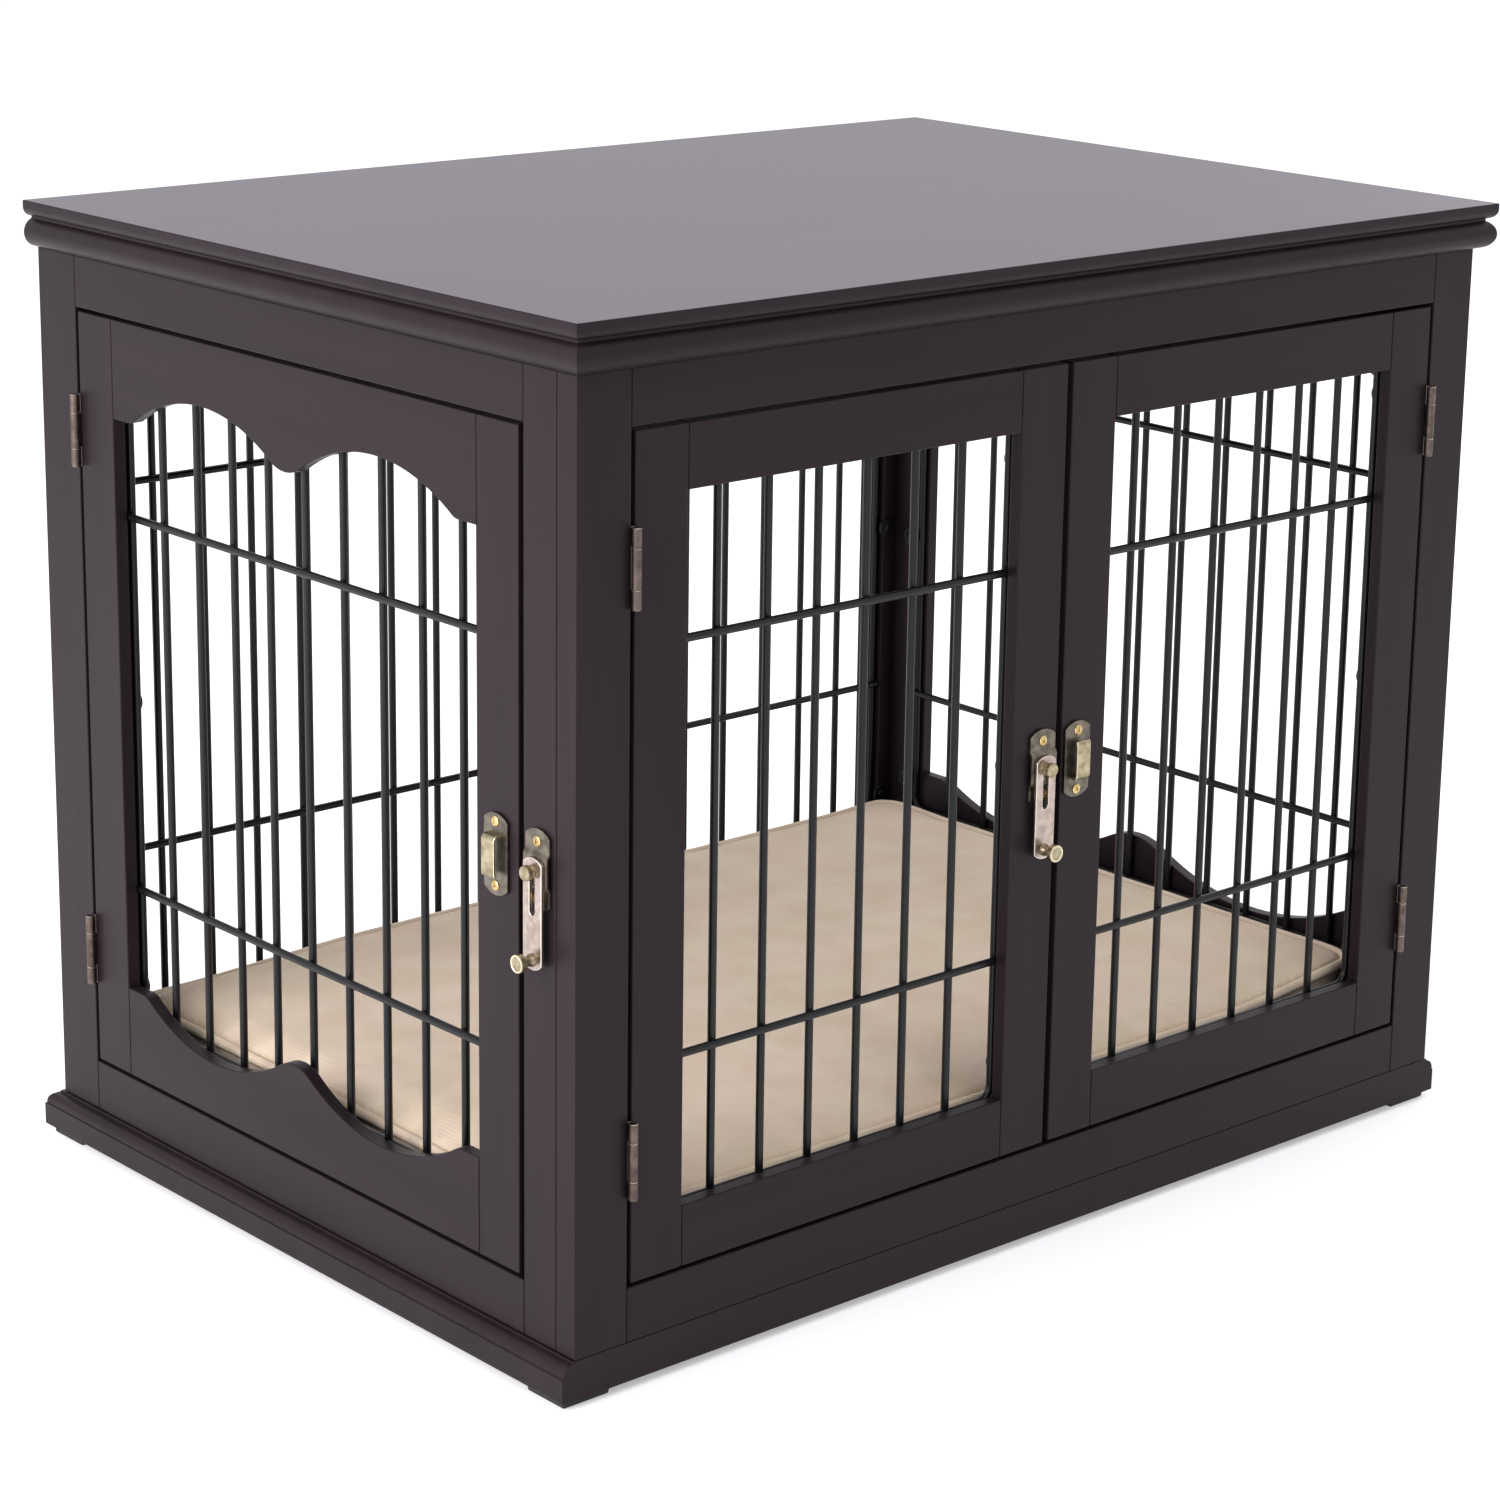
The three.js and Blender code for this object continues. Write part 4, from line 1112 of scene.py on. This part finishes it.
def keeper_strap():
    """Ribbon bent out of the plate, round at the closed lower end, with a slightly rolled open lip."""
    leg_z = -0.0122
    path = [(PLATE_SEAT + 0.0006, leg_z), (STRAP_MIDDLE - STRAP_BEND, leg_z)]
    path += quarter(STRAP_MIDDLE - STRAP_BEND, leg_z + STRAP_BEND, STRAP_BEND, -90, 0, 9)[1:]
    path += [(STRAP_MIDDLE, 0.0098), (STRAP_MIDDLE - 0.00008, 0.0108), (STRAP_MIDDLE - 0.0003, 0.0118)]
    path += [(STRAP_MIDDLE - 0.00062, 0.01255)]
    wide = STRAP_WIDTH / 2
    half = PLATE_THICK / 2
    shape = bmesh.new()
    rings = []
    for here, (out, z) in enumerate(path):
        before = path[max(here - 1, 0)]
        after = path[min(here + 1, len(path) - 1)]
        run = Vector((after[0] - before[0], after[1] - before[1])).normalized()
        side = Vector((run.y, -run.x))
        rings.append([
            shape.verts.new((x, -(out + side.x * offset), z + side.y * offset))
            for x, offset in ((-wide, half), (wide, half), (wide, -half), (-wide, -half))
        ])
    skin(shape, rings)
    bmesh.ops.recalc_face_normals(shape, faces=shape.faces)
    mesh = as_mesh("keeper_strap", shape)
    eased(mesh, 0.0004, 2)
    return mesh


def slotted_bar():
    """Flat bar with arched ends and a slot for the rivet, hanging from the slot's upper end."""
    half = BAR_WIDTH / 2
    radius = (half ** 2 + BAR_ARCH ** 2) / (2 * BAR_ARCH)
    spread_turn = math.asin(half / radius)
    top = PIN_MARGIN
    low = PIN_MARGIN - BAR_LENGTH
    outline = [
        (radius * math.sin(turn), top - radius + radius * math.cos(turn))
        for turn in (spread_turn * (1 - step / 8) for step in range(17))
    ]
    outline += [
        (radius * math.sin(turn), low + radius - radius * math.cos(turn))
        for turn in (-spread_turn * (1 - step / 8) for step in range(17))
    ]
    slot = quarter(0, 0, SLOT_WIDTH / 2, 0, 180, 12)
    slot += quarter(0, -SLOT_TRAVEL, SLOT_WIDTH / 2, 180, 360, 12)
    shape = bmesh.new()
    loops = []
    for line in (outline, slot):
        ring = [shape.verts.new((x, -BAR_FRONT, z)) for x, z in line]
        loops += [shape.edges.new((ring[at], ring[(at + 1) % len(ring)])) for at in range(len(ring))]
    bmesh.ops.triangle_fill(shape, use_beauty=True, edges=loops)
    swept = bmesh.ops.extrude_face_region(shape, geom=shape.faces[:])
    moved = [part for part in swept["geom"] if isinstance(part, bmesh.types.BMVert)]
    bmesh.ops.translate(shape, verts=moved, vec=(0, BAR_FRONT - BAR_BACK, 0))
    bmesh.ops.recalc_face_normals(shape, faces=shape.faces)
    mesh = as_mesh("slotted_bar", shape)
    eased(mesh, 0.00035, 2)
    return mesh


def knob():
    """Waisted stem under a flat disc with a rounded rim."""
    base = BAR_FRONT - 0.0004
    return spun("knob", [(radius, base + out) for radius, out in (
        (0, 0), (0.0040, 0), (0.0040, 0.0012), (0.0034, 0.0022), (0.0029, 0.0042), (0.0031, 0.0066),
        (0.0040, 0.0078), (0.0053, 0.0080), (0.00575, 0.0085), (0.00575, 0.0113), (0.0053, 0.0119),
        (0.0047, 0.0120), (0.0044, 0.0118), (0, 0.0119),
    )], 40)


def rivet():
    """Stem through plate and bar with a broad, slightly domed head."""
    collar = BAR_FRONT + PLATE_SEAT
    stem = [(0, 0.0006), (0.0034, 0.0006), (0.0034, 0.0017), (0.0022, 0.0017)]
    head = [(radius, collar + out) for radius, out in (
        (0.0022, 0), (0.0038, 0), (0.0040, 0.0004), (0.0040, 0.0022), (0.0043, 0.0024),
        (0.00465, 0.0029), (0.00465, 0.0050), (0.0042, 0.0056), (0.0030, 0.0058), (0, 0.0059),
    )]
    return spun("rivet", stem + head, 40)


screw_shape = cross_screw("latch_screw", SCREW_HEAD, 0.0013, PLATE_FACE)


def latch_piece(name, wall, spot, parts, node, material, stands_for):
    mesh = joined_mesh(name, *parts)
    mesh.transform(WALLS[wall] @ spot)
    shade_soft(mesh)
    note_edge_highlight(mesh)
    cad = (node,) if stands_for else ()
    put(name, mesh, body_of[node], material, "antique_brass", *cad)


def screw_at(z):
    mesh = screw_shape.copy()
    mesh.transform(Matrix.Translation((0, 0, z)) @ Matrix.Rotation(z * 90, 4, "Y"))
    return mesh


for latch, wall, keeper_turn in (("front_latch", "front", 0.0), ("end_latch", "left", math.pi)):
    low, high = in_wall(wall, *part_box(latch + "_plate"))
    at_pin = Matrix.Translation(((low.x + high.x) / 2, 0, (low.z + high.z) / 2))
    low, high = in_wall(wall, *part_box(latch + "_keeper"))
    at_keeper = Matrix.Translation(((low.x + high.x) / 2, 0, (low.z + high.z) / 2))
    at_keeper = at_keeper @ Matrix.Rotation(keeper_turn, 4, "Y")
    hanging = Matrix.Translation((0, 0, -KNOB_REACH))
    knob_mesh = knob()
    knob_mesh.transform(hanging)
    plate_screws = [screw_at(z) for z in PLATE_SCREWS]
    keeper_screws = [screw_at(z) for z in KEEPER_SCREWS]
    for part, spot, parts, node, material, stands_for in (
        ("_back_plate", at_pin, [back_plate()], "_plate", plate_brass, True),
        ("_rivet", at_pin, [rivet()], "_pin", strap_brass, True),
        ("_slotted_bar", at_pin, [slotted_bar()], "_bar", bar_brass, True),
        ("_knob", at_pin, [knob_mesh], "_bar", strap_brass, False),
        ("_hook_plate", at_keeper, [keeper_plate()], "_keeper", plate_brass, True),
        ("_hook", at_keeper, [keeper_strap()], "_keeper", strap_brass, False),
        ("_plate_screws", at_pin, plate_screws, "_plate", screw_brass, False),
        ("_keeper_screws", at_keeper, keeper_screws, "_keeper", screw_brass, False),
    ):
        latch_piece(latch + part, wall, spot, parts, latch + node, material, stands_for)


# Cushion: a box pad of thick fibre filling in a washable beige cover of close woven cloth, piped
# round the upper and lower edges. It lies loose on the base board.
PIPING = 0.0034
SEAM_DIP = 0.0022
LOW_RISE = 1.01
EDGE_RISE = 1.16
FULL_RISE = 0.0765
UNSWOLLEN = Vector((0.985, 0.978, 0.93))
CLOTH_GRID = 0.006
SWELL_FRAMES = 20
MOST_SWELL = 0.006


def woven_cover():
    """Close plain weave with slubs, and soft uneven patches in the dye."""
    group = bpy.data.node_groups.new("woven_cover", "ShaderNodeTree")
    finish_sockets(group, ("Threads", "Patches", "Warmth"))
    start = group.nodes.new("NodeGroupInput").outputs["Vector"]
    end = group.nodes.new("NodeGroupOutput")
    total = None
    for direction in ("X", "Y", "Z"):
        threads = wired(
            group, "ShaderNodeTexWave", Vector=start, Scale=330.0, Distortion=1.2, Detail=1.0
        )
        threads.inputs["Detail Scale"].default_value = 3.0
        threads.wave_type = "BANDS"
        threads.bands_direction = direction
        if total is None:
            total = threads.outputs["Fac"]
            continue
        total = plus(group, total, threads.outputs["Fac"])
    group.links.new(total, end.inputs["Threads"])
    for label, scale, low, high in (("Patches", 26.0, 0.36, 0.64), ("Warmth", 11.0, 0.40, 0.60)):
        cloud = wired(group, "ShaderNodeTexNoise", Vector=start, Scale=scale, Detail=4.0)
        group.links.new(ranged(group, cloud, low, high), end.inputs[label])
    return group


cover, tree = new_material("beige_woven_cover")
weave = node_group(tree, woven_cover(), object_spot(tree))
cool = two_tones(tree, weave["Patches"], (0.765, 0.620, 0.455), (0.825, 0.695, 0.525))
warm = two_tones(tree, weave["Patches"], (0.805, 0.630, 0.480), (0.845, 0.695, 0.545))
tint = two_tones(tree, weave["Warmth"], cool, warm)
# Beside the piping the cover turns dark brown: painted shade in the crease along each cord, where the pad dips
# under it.
dress(
    tree, principled(cover, IOR=1.35, Sheen_Weight=0.04, Sheen_Roughness=0.5),
    two_tones(tree, surface_note(tree, "seam")["Fac"], tint, (0.40, 0.29, 0.19)),
    spread(tree, weave["Threads"], 0.82, 0.98), relief(tree, weave["Threads"], 0.00022, 0.45),
)

cushion_low, cushion_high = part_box("cushion")
pad_mesh = merged_copy("cushion", "box_cushion")
pad_shape = bmesh.new()
pad_shape.from_mesh(pad_mesh)
bmesh.ops.remove_doubles(pad_shape, verts=pad_shape.verts, dist=0.00001)
pad_middle = (cushion_low + cushion_high) / 2
for point in pad_shape.verts:
    point.co.x = pad_middle.x + (point.co.x - pad_middle.x) * UNSWOLLEN.x
    point.co.y = pad_middle.y + (point.co.y - pad_middle.y) * UNSWOLLEN.y
    point.co.z = cushion_low.z + (point.co.z - cushion_low.z) * UNSWOLLEN.z + 0.001
pad_shape.to_mesh(pad_mesh)
pad_shape.free()
cushion = shown("box_cushion", pad_mesh)
remesh = cushion.modifiers.new("even_mesh", "REMESH")
remesh.mode = "VOXEL"
remesh.voxel_size = CLOTH_GRID
bpy.context.view_layer.update()
even = evaluated(cushion)
cushion.modifiers.clear()
cushion.data = even
before = [point.co.copy() for point in even.vertices]
swell = cushion.modifiers.new("swell", "CLOTH")
swell.settings.quality = 6
swell.settings.mass = 0.25
swell.settings.use_pressure = True
swell.settings.uniform_pressure_force = 4.0
swell.settings.tension_stiffness = 12
swell.settings.compression_stiffness = 6
swell.settings.bending_stiffness = 0.6
swell.settings.effector_weights.gravity = 0
swell.point_cache.frame_start = 1
swell.point_cache.frame_end = SWELL_FRAMES
for moment in range(1, SWELL_FRAMES + 1):
    scene.frame_set(moment)
stuffed = evaluated(cushion)
cushion.modifiers.clear()
cushion.data = stuffed
scene.frame_set(1)


def fullness(x, y):
    """The pad is worn down at the front and left, and stands full at its right and back edges."""
    share = max(ramp(x, 0, 1, 0.20, 0.355), ramp(y, 0, 1, -0.20, 0.10) * ramp(x, 0.35, 1, -0.36, -0.15))
    return LOW_RISE + (EDGE_RISE - LOW_RISE) * share


front_right = Vector((cushion_high.x, cushion_low.y, 0))
edge_middle = (cushion_low.z + cushion_high.z) / 2
for point, start in zip(cushion.data.vertices, before):
    move = point.co - start
    if move.length > MOST_SWELL:
        move = move.normalized() * MOST_SWELL
    spot = start + move
    flat = Vector((spot.x, spot.y, 0))
    near = max(0, 1 - (flat - front_right).length / 0.11) ** 1.5
    waist = max(0, 1 - abs(spot.z - edge_middle) / 0.034)
    spot.x -= 0.012 * near * waist
    spot.y += 0.005 * near * waist
    rise = noise.noise(Vector((spot.x * 9, spot.y * 9, 3.1))) * 0.0014
    rise += noise.noise(Vector((spot.x * 42, spot.y * 11, 7.7))) * 0.0009
    spot.z += rise * (spot.z > edge_middle)
    spot.x = held(spot.x, cushion_low.x, cushion_high.x)
    spot.y = held(spot.y, cushion_low.y, cushion_high.y)
    height = (spot.z - cushion_low.z) * fullness(spot.x, spot.y)
    height -= max(0, height - FULL_RISE) * 0.6
    spot.z = max(cushion_low.z + height, cushion_low.z)
    point.co = spot
for face in cushion.data.polygons:
    face.use_smooth = True
fuller = cushion.modifiers.new("fuller", "SUBSURF")
fuller.levels = 1
fuller.render_levels = 1
bpy.context.view_layer.update()
full = evaluated(cushion)
cushion.modifiers.clear()
cushion.data = full
full.materials.clear()
full.materials.append(cover)


# Piping: a cord wrapped in the cover's cloth and sewn into the upper and lower seams. It follows
# the swollen pad, so it dips and rolls where the pad does.
CORNER = 0.026
PIPING_STEP = 0.009


def seam_line(inset, z):
    """Closed round-cornered line of points a little inside the cushion's outline."""
    x1, y1 = cushion_high.x - inset, cushion_high.y - inset
    x0, y0 = cushion_low.x + inset, cushion_low.y + inset
    corners = (
        (x1 - CORNER, y1 - CORNER, 0), (x0 + CORNER, y1 - CORNER, 90),
        (x0 + CORNER, y0 + CORNER, 180), (x1 - CORNER, y0 + CORNER, 270),
    )
    turns = []
    for cx, cy, start in corners:
        for step in range(9):
            turn = math.radians(start + step * 90 / 8)
            turns.append(Vector((cx + CORNER * math.cos(turn), cy + CORNER * math.sin(turn), z)))
    line = []
    for here, after in zip(turns, turns[1:] + turns[:1]):
        parts = max(1, round((after - here).length / PIPING_STEP))
        line += [here.lerp(after, part / parts) for part in range(parts)]
    return line


def piping_cord():
    tree, given = geometry_tree("piping_cord", Radius="Float")
    path = wired(tree, "GeometryNodeMeshToCurve", Mesh=given["Geometry"])
    ring = wired(tree, "GeometryNodeCurvePrimitiveCircle", Resolution=12, Radius=given["Radius"])
    closed_off(tree, [wire_along(tree, path.outputs[0], ring.outputs[0])], cover)
    return tree


bpy.context.view_layer.update()
surface = bvhtree.BVHTree.FromObject(cushion, bpy.context.evaluated_depsgraph_get())
outward = full.polygons[0].normal.dot(full.polygons[0].center - pad_middle) > 0
beside = kdtree.KDTree(2000)
cord_tree = piping_cord()
cords = []
for label, share in (("upper", 0.89), ("lower", 0.04)):
    line = []
    for spot in seam_line(0.001, cushion_low.z):
        spot.z += (cushion_high.z - cushion_low.z) * share * fullness(spot.x, spot.y)
        touch, normal = surface.find_nearest(spot)[:2]
        place = touch + normal * PIPING * (0.45 if outward else -0.45)
        place.x = held(place.x, cushion_low.x + PIPING, cushion_high.x - PIPING)
        place.y = held(place.y, cushion_low.y + PIPING, cushion_high.y - PIPING)
        place.z = max(place.z, cushion_low.z + PIPING)
        line.append(place)
    for smoothing in range(3):
        line = [
            (line[at - 1] + line[at] * 2 + line[(at + 1) % len(line)]) / 4 for at in range(len(line))
        ]
    for place in line:
        beside.insert(place, 0)
    path = bpy.data.meshes.new(label + "_seam")
    path.from_pydata(line, [(at, (at + 1) % len(line)) for at in range(len(line))], [])
    cords.append(made_by(cord_tree, label + "_piping", {"Radius": PIPING}, path))
beside.balance()
# Painted shade: a dark band a little off each piping cord, deeper where the pad stands fuller, darkens the cover
# in the crease; the dip of the surface below is real shape.
crease_shading = full.attributes.new("seam", "FLOAT", "POINT")
for point, point_shade in zip(full.vertices, crease_shading.data):
    away = beside.find(point.co)[2]
    tight = (fullness(point.co.x, point.co.y) - LOW_RISE) / (EDGE_RISE - LOW_RISE)
    point_shade.value = max(0, 1 - abs(away - PIPING * 1.15) / 0.0035) * (0.25 + 0.55 * tight)
    point.co -= (point.co - pad_middle).normalized() * SEAM_DIP * max(0, 1 - away / 0.009)
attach(cushion, "cabinet")
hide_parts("cushion")
put("cushion_piping", joined_mesh("cushion_piping", *cords), "cabinet", cover, "cushion_fabric")
